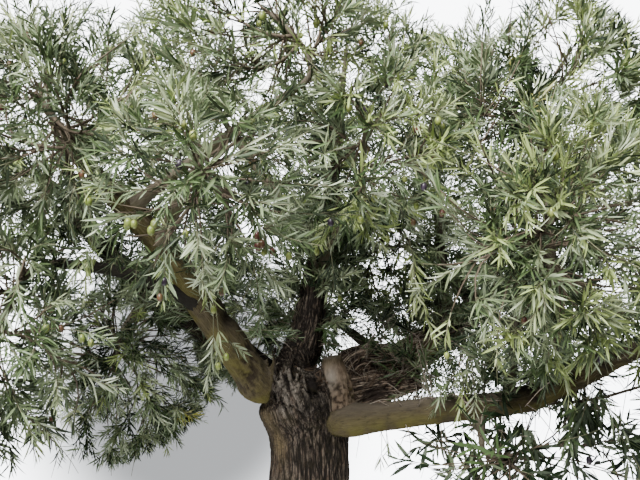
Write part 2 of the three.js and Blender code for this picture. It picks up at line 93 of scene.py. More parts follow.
# %% A mesh from arrays
def new_piece(name, vertices, face_sets, smooth=True):
    """A mesh object from points and one or more arrays of faces, each with a fixed corner count."""
    mesh = bpy.data.meshes.new(name)
    corners = np.concatenate([faces.ravel() for faces in face_sets]).astype(np.int32)
    sizes = np.concatenate([np.full(len(faces), faces.shape[1]) for faces in face_sets])
    starts = np.concatenate([[0], np.cumsum(sizes)[:-1]]).astype(np.int32)
    mesh.vertices.add(len(vertices))
    mesh.vertices.foreach_set("co", np.asarray(vertices, np.float32).ravel())
    mesh.loops.add(len(corners))
    mesh.loops.foreach_set("vertex_index", corners)
    mesh.polygons.add(len(sizes))
    mesh.polygons.foreach_set("loop_start", starts)
    mesh.polygons.foreach_set("use_smooth", np.full(len(sizes), smooth))
    mesh.update(calc_edges=True)
    piece = bpy.data.objects.new(name, mesh)
    bpy.context.scene.collection.objects.link(piece)
    return piece


def evaluated_mesh(piece):
    """A piece's mesh with its modifiers worked out."""
    return bpy.data.meshes.new_from_object(piece.evaluated_get(bpy.context.evaluated_depsgraph_get()))


def around(count):
    """Angles at equal steps round a circle."""
    return np.arange(count) * 2 * math.pi / count


def add_values(piece, **named):
    """Stores one number or one vector for each point of a mesh, for its material to read."""
    for name, values in named.items():
        values = np.asarray(values, np.float32)
        if values.ndim == 1:
            piece.data.attributes.new(name, "FLOAT", "POINT").data.foreach_set("value", values)
        else:
            made = piece.data.attributes.new(name, "FLOAT_VECTOR", "POINT")
            made.data.foreach_set("vector", values.ravel())


def dress(piece, material, slot, *replaced):
    """Gives a piece its material and the body it rides on, and hides the plain pieces it stands for. Its
    slot is not used.
    """
    piece.data.materials.clear()
    piece.data.materials.append(material)
    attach(piece, "root")
    if replaced:
        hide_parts(*replaced)
    triangles = sum(len(polygon.vertices) - 2 for polygon in piece.data.polygons)
    print(f"{piece.name}: {triangles} triangles")

# %% [markdown]
# ## A small language for materials
#
# A material is a tree of nodes. A few helpers keep the trees short to read: one adds a node and sets
# or links its inputs, and the others mix colours, do sums, stretch a value, make cloudy noise and read
# what a mesh stores. Effects that several materials share are node groups with named inputs and
# outputs.

# %% Helpers for node trees
def feed(tree, socket, value):
    """Links an output to a socket, or gives the socket a plain value. A colour needs no alpha."""
    if isinstance(value, bpy.types.NodeSocket):
        tree.links.new(value, socket)
    elif socket.type == "RGBA":
        socket.default_value = (*value[:3], 1)
    else:
        socket.default_value = value


def add(tree, kind, settings=None, **inputs):
    """Adds a node. Inputs are named with _ for a space, and take a value or another node's output."""
    made = tree.nodes.new(kind)
    for name, value in (settings or {}).items():
        setattr(made, name, value)
    for name, value in inputs.items():
        feed(tree, made.inputs[name.replace("_", " ")], value)
    return made


def mix(tree, factor, first, second):
    """The mix of two colours, each a colour or an output."""
    made = add(tree, "ShaderNodeMix", {"data_type": "RGBA"})
    for index, value in ((0, factor), (6, first), (7, second)):
        feed(tree, made.inputs[index], value)
    return made.outputs[2]


def maths(tree, operation, first, second=0.5, clamp=False):
    """One sum of two numbers or outputs."""
    made = add(tree, "ShaderNodeMath", {"operation": operation, "use_clamp": clamp})
    feed(tree, made.inputs[0], first)
    feed(tree, made.inputs[1], second)
    return made.outputs[0]


def plus(tree, first, second):
    """Two numbers or outputs added up."""
    return maths(tree, "ADD", first, second)


def minus(tree, first, second):
    """The second number or output taken from the first."""
    return maths(tree, "SUBTRACT", first, second)


def times(tree, first, second):
    """Two numbers or outputs multiplied."""
    return maths(tree, "MULTIPLY", first, second)


def vectors(tree, operation, first, second):
    """One sum of two vectors or outputs."""
    made = add(tree, "ShaderNodeVectorMath", {"operation": operation})
    feed(tree, made.inputs[0], first)
    feed(tree, made.inputs[1], second)
    return made.outputs["Vector"]


def scaled(tree, colour, amount):
    """A colour made lighter or darker."""
    return add(tree, "ShaderNodeVectorMath", {"operation": "SCALE"}, Vector=colour, Scale=amount).outputs[0]


def stretch(tree, value, low, high, first=0.0, last=1.0):
    """A value mapped with soft ends, so that low becomes first and high becomes last."""
    made = add(
        tree, "ShaderNodeMapRange", {"interpolation_type": "SMOOTHSTEP"},
        Value=value, From_Min=low, From_Max=high, To_Min=first, To_Max=last,
    )
    return made.outputs["Result"]


def cloud(tree, place, scale, detail=3.0, roughness=0.5):
    """Cloudy noise from 0 to 1."""
    made = add(
        tree, "ShaderNodeTexNoise", Vector=place, Scale=scale, Detail=detail, Roughness=roughness
    )
    return made.outputs[0]


def stored(tree, name, output="Fac"):
    """A value that a mesh stores for each of its points."""
    return add(tree, "ShaderNodeAttribute", {"attribute_name": name}).outputs[output]


def own_place(tree):
    """Where each point lies on its piece, in metres."""
    return add(tree, "ShaderNodeTexCoord").outputs["Object"]


def new_group(name, inputs, outputs):
    """An empty node group with named sockets. Returns the tree, its input node and its output node."""
    tree = bpy.data.node_groups.new(name, "ShaderNodeTree")
    kinds = {"vector": "NodeSocketVector", "value": "NodeSocketFloat", "colour": "NodeSocketColor"}
    for socket, (kind, start) in inputs.items():
        made = tree.interface.new_socket(socket, in_out="INPUT", socket_type=kinds[kind])
        if start is not None:
            made.default_value = start
    for socket, kind in outputs.items():
        tree.interface.new_socket(socket, in_out="OUTPUT", socket_type=kinds[kind])
    return tree, tree.nodes.new("NodeGroupInput").outputs, tree.nodes.new("NodeGroupOutput").inputs


def new_material(name, roughness=0.8, specular=0.5):
    """A material with its Principled shader, ready to be wired."""
    material = bpy.data.materials.new(name)
    material.use_nodes = True
    shader = material.node_tree.nodes["Principled BSDF"]
    shader.inputs["Roughness"].default_value = roughness
    shader.inputs["Specular IOR Level"].default_value = specular
    return material, material.node_tree, shader.inputs


def place_group(tree, group, **inputs):
    """A node that uses a group, with its own values."""
    return add(tree, "ShaderNodeGroup", {"node_tree": group}, **inputs).outputs


def give(tree, out, **values):
    """Links a group's results to its outputs."""
    for name, value in values.items():
        tree.links.new(value, out[name])


def wire(tree, shader, colour, height=None, strength=1.0, distance=0.001):
    """Feeds a material's shader its colour and, if there is one, the height of its fine bumps."""
    tree.links.new(colour, shader["Base Color"])
    if height is not None:
        bump = add(tree, "ShaderNodeBump", Height=height, Strength=strength, Distance=distance)
        tree.links.new(bump.outputs[0], shader["Normal"])

# %% [markdown]
# ## Floor and light
#
# The tree is seen in the soft light of an overcast day: the sky is bright and the ground is dim, so
# leaves are pale on top and the inside of the crown is dark. The world shines brightest from above,
# and a wide soft lamp above the viewer models the near leaves. What the camera sees between the
# leaves is brighter than the light on them, as a lit backdrop is, and low on the left it carries a soft
# painted shadow. The floor is a plain pale disc.

# %% Floor
FLOOR_RADIUS = 1.76
FLOOR_SIDES = 160
FLOOR_COLOUR = (0.8, 0.81, 0.83)

angles = around(FLOOR_SIDES)
rim = np.stack([FLOOR_RADIUS * np.cos(angles), FLOOR_RADIUS * np.sin(angles), np.zeros(FLOOR_SIDES)], 1)
floor = new_piece("floor", rim, [np.arange(FLOOR_SIDES)[None, :]], smooth=False)
pale_floor, tree, shader = new_material("pale floor", 0.9)
feed(tree, shader["Base Color"], FLOOR_COLOUR)
floor.data.materials.append(pale_floor)
print("floor", FLOOR_RADIUS, "m in radius")

# %% World and lamp
SKY_LIGHT = 0.5
GROUND_LIGHT = 0.05
SKY_COLOUR = (0.93, 0.95, 0.97)
LIGHT_RISES = (-0.25, 0.65)
BACKDROP = 9.0
# Low on the left the backdrop carries a soft painted shadow: its strength, direction and edge
BACKDROP_SHADOW_STRENGTH = 0.6
BACKDROP_COLOUR = (0.94, 0.97, 1.0)
BACKDROP_SHADOW_TOWARDS = (-0.2, 0.95, -0.24)
BACKDROP_SHADOW_EDGE = (0.955, 0.993)
LAMP_PLACE = (-1.6, -3.4, 5.6)
LAMP_AIM = (0, 0, 1.6)
LAMP_SIZE = 3.2
LAMP_POWER = 1360

world = bpy.data.worlds.new("overcast")
bpy.context.scene.world = world
world.use_nodes = True
sky = world.node_tree
looking = add(sky, "ShaderNodeTexCoord").outputs["Generated"]
height = add(sky, "ShaderNodeSeparateXYZ", Vector=looking).outputs["Z"]
light = sky.nodes["Background"]
feed(sky, light.inputs["Color"], SKY_COLOUR)
feed(sky, light.inputs["Strength"], stretch(sky, height, *LIGHT_RISES, GROUND_LIGHT, SKY_LIGHT))
# The backdrop's painted shadow, low on the left
towards_backdrop_shadow = add(sky, "ShaderNodeVectorMath", {"operation": "DOT_PRODUCT"}, Vector=looking)
towards_backdrop_shadow.inputs[1].default_value = BACKDROP_SHADOW_TOWARDS
backdrop_strength_with_shadow = stretch(sky, towards_backdrop_shadow.outputs["Value"], *BACKDROP_SHADOW_EDGE, BACKDROP, BACKDROP_SHADOW_STRENGTH)
backdrop = add(sky, "ShaderNodeBackground", Color=BACKDROP_COLOUR, Strength=backdrop_strength_with_shadow)
seen = add(sky, "ShaderNodeLightPath").outputs["Is Camera Ray"]
either = add(sky, "ShaderNodeMixShader")
for socket, output in zip(either.inputs, (seen, light.outputs[0], backdrop.outputs[0])):
    sky.links.new(output, socket)
sky.links.new(either.outputs[0], sky.nodes["World Output"].inputs["Surface"])

lamp_data = bpy.data.lights.new("overhead", "AREA")
lamp_data.size = LAMP_SIZE
lamp_data.energy = LAMP_POWER
lamp = bpy.data.objects.new("overhead", lamp_data)
lamp.location = LAMP_PLACE
lamp.rotation_euler = (Vector(LAMP_PLACE) - Vector(LAMP_AIM)).to_track_quat("Z", "Y").to_euler()
bpy.context.scene.collection.objects.link(lamp)
print("sky light", SKY_LIGHT, "ground light", GROUND_LIGHT, "lamp", LAMP_POWER, "W")

# %% [markdown]
# ## The limbs' axes
#
# Every limb is a smooth curve through a few points, with a radius that shrinks along it. The points
# below are the plain model's own, in millimetres, so the fine limbs lie in the same place. The curve
# is a centripetal Catmull-Rom spline: it passes through each point without loops or overshoot.

# %% Curves
def unit(vectors):
    """Vectors of length one."""
    return vectors / np.maximum(np.linalg.norm(vectors, axis=-1, keepdims=True), 1e-12)


def columns(rows):
    """One array for each column of a table, such as the starts, middles and ends of curves."""
    return [np.array(column) for column in zip(*rows)]


def stacked(*sets):
    """Several sets of curves, or of points and directions, as one."""
    return [np.vstack(rows) for rows in zip(*sets)]


def catmull_rom(through, shares):
    """Points on a centripetal Catmull-Rom curve, at shares of its knots from 0 to 1."""
    points = np.asarray(through, float)
    row = np.vstack([2 * points[0] - points[1], points, 2 * points[-1] - points[-2]])
    spans = len(points) - 1
    place = shares * spans
    index = np.minimum(place.astype(int), spans - 1)
    weight = (place - index)[:, None]
    p0, p1, p2, p3 = (row[index + k] for k in range(4))
    d0, d1, d2 = (
        np.sqrt(np.linalg.norm(b - a, axis=1))[:, None] for a, b in ((p0, p1), (p1, p2), (p2, p3))
    )
    slope_in = ((p1 - p0) / d0 - (p2 - p0) / (d0 + d1) + (p2 - p1) / d1) * d1
    slope_out = ((p2 - p1) / d1 - (p3 - p1) / (d1 + d2) + (p3 - p2) / d2) * d1
    square = 3 * (p2 - p1) - 2 * slope_in - slope_out
    cube = 2 * (p1 - p2) + slope_in + slope_out
    return p1 + slope_in * weight + square * weight**2 + cube * weight**3


def bezier(a, b, c, shares):
    """Points on quadratic curves from a to c, drawn towards b."""
    t = np.asarray(shares)[..., None]
    a, b, c = (np.asarray(p)[..., None, :] for p in (a, b, c))
    return a * (1 - t) ** 2 + b * 2 * t * (1 - t) + c * t**2


def bezier_heading(a, b, c, shares):
    """Directions of quadratic curves."""
    t = np.asarray(shares)[..., None]
    a, b, c = (np.asarray(p)[..., None, :] for p in (a, b, c))
    return unit((b - a) * (1 - t) + (c - b) * t)


def evenly_spaced(points, count):
    """The same line with its points at equal distances."""
    steps = np.linalg.norm(np.diff(points, axis=0), axis=1)
    length = np.concatenate([[0], np.cumsum(steps)])
    wanted = np.linspace(0, length[-1], count)
    return np.stack([np.interp(wanted, length, points[:, axis]) for axis in range(3)], 1)


def point_at(path, share):
    """The point of an evenly spaced path at a share of its length."""
    place = share * (len(path) - 1)
    low = min(int(place), len(path) - 2)
    return path[low] + (path[low + 1] - path[low]) * (place - low)

# %% [markdown]
# ## Trunk and boughs
#
# The trunk is short and fluted. It swells at the soil into five root ridges, has a waist under the
# fork, and ends in a low rough head. Two boughs are smooth: the left one rises from a rounded heel,
# and the right one runs out almost level from an elbow. The rest is old, rough wood.

# %% The plain model's sizes for trunk and boughs, in millimetres
TRUNK_FOOT = 468.3
TRUNK_WAIST_RADIUS = 137
TRUNK_FLARE = 68
FLARE_HEIGHT = 68
ROOT_RIDGES = 5
ROOT_RIDGE_HEIGHT = 150
ROOT_RIDGE_DEPTH = 0.1
FLUTES = 3
FLUTE_DEPTH = 0.025
FLUTE_TWIST = 190
SHOULDER_HEIGHT = 985
SHOULDER_SWELL = 24
SHOULDER_SPREAD = 75
HEAD_TOP = 1075
HEAD_ROUNDING = 85
HEAD_LEAST = 0.12
HEEL_NARROWING = 0.85
TRUNK_AXIS = [
    (0, 0, TRUNK_FOOT), (0, 0, 700), (-2, 0, 860), (-26, 4, SHOULDER_HEIGHT), (-62, 10, HEAD_TOP),
]

BOUGHS = {
    "leader": {
        "through": [
            (-60, 18, 950), (-68, 36, 1065), (-22, 90, 1172),
            (27, 160, 1436), (66, 200, 1666), (94, 220, 1901),
        ],
        "radii": (84, 70, 54, 46, 34, 21),
    },
    "bough_left": {
        "through": [(-144, -56, 1003), (-352, -150, 1340), (-484, -250, 1550), (-590, -335, 1690)],
        "radii": (64, 56, 46, 34),
        "heel": 0.07,
    },
    "bough_rear_left": {
        "through": [
            (-90, 66, 990), (-399, 150, 1218), (-628, 225, 1347), (-872, 300, 1558), (-1060, 360, 1760),
        ],
        "radii": (62, 54, 47, 35, 22),
    },
    "bough_right": {
        "through": [
            (66, -104, 934), (430, -115, 978), (700, -205, 1040), (900, -335, 1185), (1110, -430, 1320),
        ],
        "radii": (56, 45, 39, 38, 26),
        "heel": 0.05,
    },
    "bough_rear_right": {
        "through": [
            (92, 72, 945), (152, 128, 1072), (262, 165, 1088), (361, 190, 1096),
            (619, 300, 1240), (790, 400, 1350), (960, 490, 1490),
        ],
        "radii": (72, 72, 70, 63, 45, 36, 24),
    },
    "burr": {"through": [(120, 40, 985), (250, 60, 1012), (405, 70, 1036)], "radii": (60, 56, 34)},
    "pruned_stub": {"through": [(100, -70, 945), (92, -68, 1050), (74, -64, 1148)], "radii": (62, 55, 33)},
    "sawn_stub": {"through": [(462, 226, 1142), (440, 96, 1152)], "radii": (34, 31)},
}

# %% Paths and radii of the trunk and the boughs
PATH_POINTS = 161


def trunk_radius(height):
    """The trunk's mean radius at a height, both in millimetres."""
    flare = TRUNK_FLARE * np.exp(-(height - TRUNK_FOOT) / FLARE_HEIGHT)
    shoulders = SHOULDER_SWELL * np.exp(-(((height - SHOULDER_HEIGHT) / SHOULDER_SPREAD) ** 2))
    over_top = np.maximum(0, (height - HEAD_TOP + HEAD_ROUNDING) / HEAD_ROUNDING)
    return (TRUNK_WAIST_RADIUS + flare + shoulders) * np.sqrt(np.maximum(1 - over_top**2, HEAD_LEAST))


def limb_along(through, radii, heel=0.0):
    """A limb's evenly spaced path and its radii, in metres."""
    path = evenly_spaced(catmull_rom(through, np.linspace(0, 1, 4 * PATH_POINTS)), PATH_POINTS)
    shares = np.linspace(0, 1, PATH_POINTS)
    radius = np.interp(shares, np.linspace(0, 1, len(radii)), radii)
    if heel:
        below = np.maximum(1 - shares / heel, 0)
        radius = radius * np.sqrt(1 - HEEL_NARROWING * below**2)
    return {"path": path * MM, "radius": radius * MM}


limbs = {"trunk": limb_along(TRUNK_AXIS, (1, 1))}
limbs["trunk"]["radius"] = trunk_radius(limbs["trunk"]["path"][:, 2] / MM) * MM
for name, bough in BOUGHS.items():
    limbs[name] = limb_along(**bough)
for name, limb in limbs.items():
    length = np.linalg.norm(np.diff(limb["path"], axis=0), axis=1).sum()
    print(f"{name}: {length:.2f} m long, {2000 * limb['radius'].max():.0f} mm thick")

# %% [markdown]
# ## Tubes along paths
#
# A limb, a branch and the finest shoot are all a tube: rings of points round a path. The rings must
# not twist, so each ring's sideways direction is carried on from the ring before it. The same helper
# also returns where each point lies in the limb's own grain: two sideways distances and one along it.

# %% Sweep tubes along paths
def frames_along(paths):
    """Forward and two sideways directions at each point of each path."""
    forward = unit(np.gradient(paths, axis=1))
    helper = np.where(np.abs(forward[:, :1, 2:]) < 0.9, [[[0.0, 0.0, 1.0]]], [[[1.0, 0.0, 0.0]]])
    side = np.empty_like(forward)
    carried = np.cross(helper, forward[:, :1])[:, 0]
    for ring in range(paths.shape[1]):
        ahead = forward[:, ring]
        carried = unit(carried - ahead * (carried * ahead).sum(1, keepdims=True))
        side[:, ring] = carried
    return forward, side, np.cross(forward, side)


def wall_quads(rings, sides):
    """The four-cornered faces between rings of points that follow each other."""
    ring = np.arange(rings - 1)[:, None] * sides
    this = ring + np.arange(sides)
    following = ring + (np.arange(sides) + 1) % sides
    return np.stack([this, following, following + sides, this + sides], 2)


def sweep(paths, radii, sides):
    """Closed tubes along paths (tube, ring, 3) with radii (tube, ring) or (tube, ring, side)."""
    count, rings = paths.shape[:2]
    forward, side, other = frames_along(paths)
    angles = around(sides)
    radii = np.broadcast_to(radii if radii.ndim == 3 else radii[..., None], (count, rings, sides))
    across = radii * np.cos(angles)
    upward = radii * np.sin(angles)
    rims = paths[:, :, None] + across[..., None] * side[:, :, None] + upward[..., None] * other[:, :, None]
    points = np.concatenate([rims.reshape(count, -1, 3), paths[:, :1], paths[:, -1:]], 1)
    steps = np.linalg.norm(np.diff(paths, axis=1), axis=2)
    along = np.concatenate([np.zeros((count, 1)), np.cumsum(steps, 1)], 1)
    along = np.broadcast_to(along[..., None], across.shape)
    grain = np.stack([across, upward, along], 3).reshape(count, -1, 3)
    grain = np.concatenate([grain, np.zeros((count, 2, 3))], 1)
    walls = wall_quads(rings, sides)
    foot = np.stack([np.full(sides, rings * sides), walls[0, :, 1], walls[0, :, 0]], 1)
    tip = np.stack([np.full(sides, rings * sides + 1), walls[-1, :, 3], walls[-1, :, 2]], 1)
    shift = (np.arange(count) * points.shape[1])[:, None, None]
    quads = (walls.reshape(-1, 4) + shift).reshape(-1, 4)
    triangles = (np.vstack([foot, tip]) + shift).reshape(-1, 3)
    return points.reshape(-1, 3), [quads, triangles], grain.reshape(-1, 3)


def joined(parts):
    """Several sets as one: points, sets of faces, and the values that the points store."""
    points, face_sets, values = zip(*parts)
    starts = np.cumsum([0, *(len(rows) for rows in points)])
    faces = [np.vstack([rows + start for rows, start in zip(same, starts)]) for same in zip(*face_sets)]
    return np.vstack(points), faces, np.concatenate(values)

# %% [markdown]
# ## One skin for trunk and boughs
#
# On the real tree the bark runs from trunk to bough without a seam, and where a bough leaves, it
# presses out a collar. So the trunk and boughs are swept as closed tubes that run into each other and
# then remeshed with small voxels, which melts them into one skin. A boolean union would keep hard
# creases and long thin faces, which take relief badly. Splinters of torn wood stand on the trunk's
# head and melt into it too. A little smoothing takes off the steps that voxels leave.

# %% Sweep the trunk and boughs and melt them into one skin
VOXEL = 0.006
SMOOTHING_ROUNDS = 2
TUBE_SIDES = 40
RIDGE_TURN = 0.6
RIDGE_LEAST = 0.02
OVAL = 0.035
THREE_SIDED = 0.02

# The collar of a bough: its place and spread along the bough, and its height in metres
COLLARS = {"bough_left": (0.085, 0.03, 0.007), "bough_right": (0.07, 0.03, 0.005)}

# The large splinters of the trunk's head: foot, tip and widest radius, in metres
LARGE_SPLINTERS = [
    ((-0.006, -0.164, 1.008), (-0.1, -0.138, 1.118), 0.014),
    ((-0.045, -0.16, 1.008), (-0.078, -0.11, 1.152), 0.011),
    ((-0.1, -0.142, 1.025), (-0.128, -0.095, 1.178), 0.014),
    ((-0.016, -0.15, 1.03), (-0.026, -0.09, 1.145), 0.011),
    ((0.026, -0.16, 0.985), (0.0, -0.118, 1.108), 0.01),
    ((-0.132, -0.122, 1.04), (-0.116, -0.07, 1.192), 0.012),
    ((-0.062, -0.128, 1.045), (-0.052, -0.075, 1.205), 0.012),
]
SMALL_SPLINTERS = 34
SPLINTER_RINGS = 9
SPLINTER_SIDES = 6


def limb_tube(name, limb):
    """One limb's closed tube, with the source's slight unroundness, ridges and flutes."""
    shares = np.linspace(0, 1, PATH_POINTS)[:, None]
    angles = around(TUBE_SIDES)[None]
    if name == "trunk":
        height = limb["path"][:, 2:] / MM
        near_foot = np.exp(-(height - TRUNK_FOOT) / ROOT_RIDGE_HEIGHT)
        ridges = np.cos(ROOT_RIDGES * angles + RIDGE_TURN) * (RIDGE_LEAST + ROOT_RIDGE_DEPTH * near_foot)
        unround = 1 + ridges + np.cos(FLUTES * angles + height / FLUTE_TWIST) * FLUTE_DEPTH
    else:
        oval = OVAL * np.cos(2 * angles + 7 * shares)
        unround = 1 + oval + THREE_SIDED * np.cos(3 * angles - 5 * shares)
    radii = limb["radius"][:, None] * unround
    if name in COLLARS:
        place, spread, swell = COLLARS[name]
        radii = radii + swell * np.exp(-(((shares - place) / spread) ** 2))
    return sweep(limb["path"][None], radii[None], TUBE_SIDES)


def melted(name, points, face_sets, voxel):
    """The outer skin of closed pieces that run into each other, as points and four-cornered faces."""
    rough = new_piece(name, points, face_sets)
    remesh = rough.modifiers.new("melt", "REMESH")
    remesh.mode = "VOXEL"
    remesh.voxel_size = voxel
    skin = evaluated_mesh(rough)
    bpy.data.objects.remove(rough)
    points = np.empty(len(skin.vertices) * 3, np.float32)
    skin.vertices.foreach_get("co", points)
    corners = np.empty(len(skin.loops), np.int32)
    skin.loops.foreach_get("vertex_index", corners)
    bpy.data.meshes.remove(skin)
    return points.reshape(-1, 3).astype(float), corners.reshape(-1, 4)


def smoothed(points, quads, rounds):
    """Points drawn halfway to the mean of their neighbours along the faces' edges."""
    start, end = np.concatenate([quads[:, [k, (k + 1) % 4]] for k in range(4)]).T
    neighbours = np.bincount(start, minlength=len(points))[:, None]
    for _ in range(rounds):
        total = np.stack([np.bincount(start, points[end, axis], len(points)) for axis in range(3)], 1)
        points = points + (total / neighbours - points) * 0.5
    return points


def splinter_tubes():
    """Wedges of torn wood that stand up round the trunk's head, between the left bough and the stub."""
    rng = np.random.default_rng(5)
    feet, tips, widest = columns(LARGE_SPLINTERS)
    picked = rng.integers(0, len(feet), SMALL_SPLINTERS)
    small_feet = feet[picked] + rng.normal(size=(SMALL_SPLINTERS, 3)) * (0.022, 0.008, 0.022)
    leans = (tips - feet)[picked] * rng.uniform(0.35, 0.85, (SMALL_SPLINTERS, 1))
    small_tips = small_feet + leans + rng.normal(size=(SMALL_SPLINTERS, 3)) * 0.01
    feet = np.vstack([feet, small_feet])
    tips = np.vstack([tips, small_tips])
    widest = np.concatenate([widest, rng.uniform(0.005, 0.009, SMALL_SPLINTERS)])
    paths = bezier(feet, (feet + tips) / 2 - (0, 0.006, 0), tips, np.linspace(0, 1, SPLINTER_RINGS))
    return sweep(paths, widest[:, None] * np.linspace(1, 0.3, SPLINTER_RINGS)[None], SPLINTER_SIDES)


tubes = [limb_tube(name, limb) for name, limb in limbs.items()]
tube_points, tube_faces, _ = joined([*tubes, splinter_tubes()])
skin_points, skin_quads = melted("limbs_melting", tube_points, tube_faces, VOXEL)
skin_points = smoothed(skin_points, skin_quads, SMOOTHING_ROUNDS)
print("bark skin:", len(skin_points), "points,", len(skin_quads), "faces")

# %% [markdown]
# ## Relief of the bark
#
# Old olive bark splits into narrow upright plates. To run along each limb, the pattern is worked out
# in that limb's own grain: every point of the skin finds the limb it belongs to, and its place along
# and across it. Noise that is long in one direction then gives the furrows. They are cut into the
# mesh itself, because at this distance they show in the outline.

# %% Find each point's limb and its place in the grain
ROUGHNESS_OF = {
    "trunk": (1.0, 1.0), "leader": (1.0, 0.9), "bough_left": (0.05, 0.45), "bough_rear_left": (0.9, 0.7),
    "bough_right": (0.05, 0.55), "bough_rear_right": (1.0, 0.8), "burr": (1.0, 1.0),
    "pruned_stub": (0.35, 0.25), "sawn_stub": (0.5, 0.3),
}
limb_names = list(ROUGHNESS_OF)

# How much lighter or darker a limb's bark is than the trunk's. The rear right bough and the burr lie
# in the crown's shade behind the fork and are lifted as painted light; the rear left bough and the
# right bough are darker
TONE_AND_PAINTED_LIGHT_OF = {"bough_rear_left": 0.5, "bough_rear_right": 3.1, "burr": 2.8, "bough_right": 0.86}

# How many points are handled in one go, so that the arrays stay small
POINTS_AT_A_TIME = 4000


def grain_of(points):
    """For each point: its limb's number, its share along it, and its place in that limb's grain."""
    best = np.full(len(points), np.inf)
    number = np.zeros(len(points), int)
    share = np.zeros(len(points))
    grain = np.zeros((len(points), 3))
    for index, name in enumerate(limb_names):
        path, radius = limbs[name]["path"], limbs[name]["radius"]
        forward, side, other = (rows[0] for rows in frames_along(path[None]))
        step = np.linalg.norm(path[1] - path[0])
        for start in range(0, len(points), POINTS_AT_A_TIME):
            block = slice(start, start + POINTS_AT_A_TIME)
            distance = np.linalg.norm(points[block, None] - path[None], axis=2) - radius
            nearest = distance.argmin(1)
            least = distance[np.arange(len(nearest)), nearest]
            nearer = np.flatnonzero(least < best[block]) + start
            near = nearest[nearer - start]
            offset = points[nearer] - path[near]
            best[nearer] = least[nearer - start]
            number[nearer] = index
            share[nearer] = near / (PATH_POINTS - 1)
            along = near * step + (offset * forward[near]).sum(1)
            grain[nearer] = np.stack(
                [(offset * side[near]).sum(1), (offset * other[near]).sum(1), along + 3.1 * index], 1
            )
    return number, share, grain


def long_noise(grain, across, along, octaves=3, shift=0.0):
    """Noise from about -1 to 1 in patches `across` wide and `along` long. A shift reads another part."""
    scaled = grain / (across, across, along) + shift
    return np.array([noise.fractal(place, 0.9, 2.1, octaves) for place in scaled])


limb_number, limb_share, grain = grain_of(skin_points)
starts_at, ends_at = (np.array([ROUGHNESS_OF[name][k] for name in limb_names])[limb_number] for k in (0, 1))
rough = starts_at + (ends_at - starts_at) * np.clip(limb_share * 1.6 - 0.5, 0, 1)
print("points on each limb:", dict(zip(limb_names, np.bincount(limb_number).tolist())))

# %% [markdown]
# Some places have a character of their own. The head of the trunk is torn, so its splinters follow the
# way that the wood split, not the grain of one limb. Hands and weather have worn the bark off here and
# there, old cuts leave a scar or a hollow, and one strip of the left bough is flecked where its bark
# has peeled.

# %% The depth of each kind of relief, and where the special places are, in metres
FURROW_DEPTH = 0.0095
LUMP_HEIGHT = 0.007
STREAK_HEIGHT = 0.0012
SPLINTER_HEIGHT = 0.014
SPLINTER_SWELL = 0.004
PIT_DEPTH = 0.013
FLECK_DEPTH = 0.006
HOLLOW_DEPTH = 0.016
KNOT_HEIGHT = 0.006
KNOT_ROUGHNESS = 0.022
TORN_WAY = (-0.42, 0.22, 0.88)

# A place and its half-sizes
TORN_HEAD = ((-0.05, -0.12, 1.08), (0.09, 0.09, 0.1))
STUB_SCAR = ((0.07, -0.115, 1.085), (0.022, 0.04, 0.04))
FLECKED_STRIP = ((-0.205, -0.17, 1.13), (0.055, 0.12, 0.17))
WORN_PLACES = [
    ((-0.15, -0.09, 0.94), (0.03, 0.09, 0.06)),
    ((-0.105, -0.11, 0.855), (0.03, 0.09, 0.07)),
]
HOLLOWS = [
    ((0.235, 0.0, 0.998), (0.055, 0.07, 0.024)),
    ((0.012, -0.11, 1.03), (0.02, 0.06, 0.05)),
    ((-0.272, -0.14, 1.295), (0.018, 0.05, 0.035)),
]

# Two dark knots where branches were cut from the right bough
KNOTS = [((0.88, -0.365, 1.19), (0.024, 0.05, 0.05)), ((0.712, -0.24, 1.055), (0.018, 0.04, 0.05))]


def skin_normals(points, quads):
    """Directions that point out of a skin at its points."""
    across = points[quads[:, 2]] - points[quads[:, 0]]
    upward = points[quads[:, 3]] - points[quads[:, 1]]
    faces = np.cross(across, upward)
    total = np.zeros_like(points)
    for corner in range(4):
        for axis in range(3):
            total[:, axis] += np.bincount(quads[:, corner], faces[:, axis], len(points))
    return unit(total)


def near(*places):
    """How near the skin's points are to places: 1 there, falling off smoothly over the half-sizes."""
    return sum(np.exp(-(((skin_points - centre) / sizes) ** 2).sum(1)) for centre, sizes in places)

# %% Find the special places and work out the patterns of the bark
on_stub, on_left, on_right, on_trunk = (
    limb_number == limb_names.index(name) for name in ("pruned_stub", "bough_left", "bough_right", "trunk")
)
splintered = near(TORN_HEAD) * (~on_stub & ~on_left)
worn = np.clip(near(*WORN_PLACES) * on_trunk, 0, 1)
scar = near(STUB_SCAR) * on_stub
# Hollows are cut into the skin and also get painted shade
hollow = near(*HOLLOWS) * ~on_stub
knots = near(*KNOTS) * on_right
strip = on_left * np.clip((0.4 - limb_share) * 6, 0, 1) * near(FLECKED_STRIP)
pitted = on_stub * np.clip((0.66 - limb_share) * 5, 0, 1)

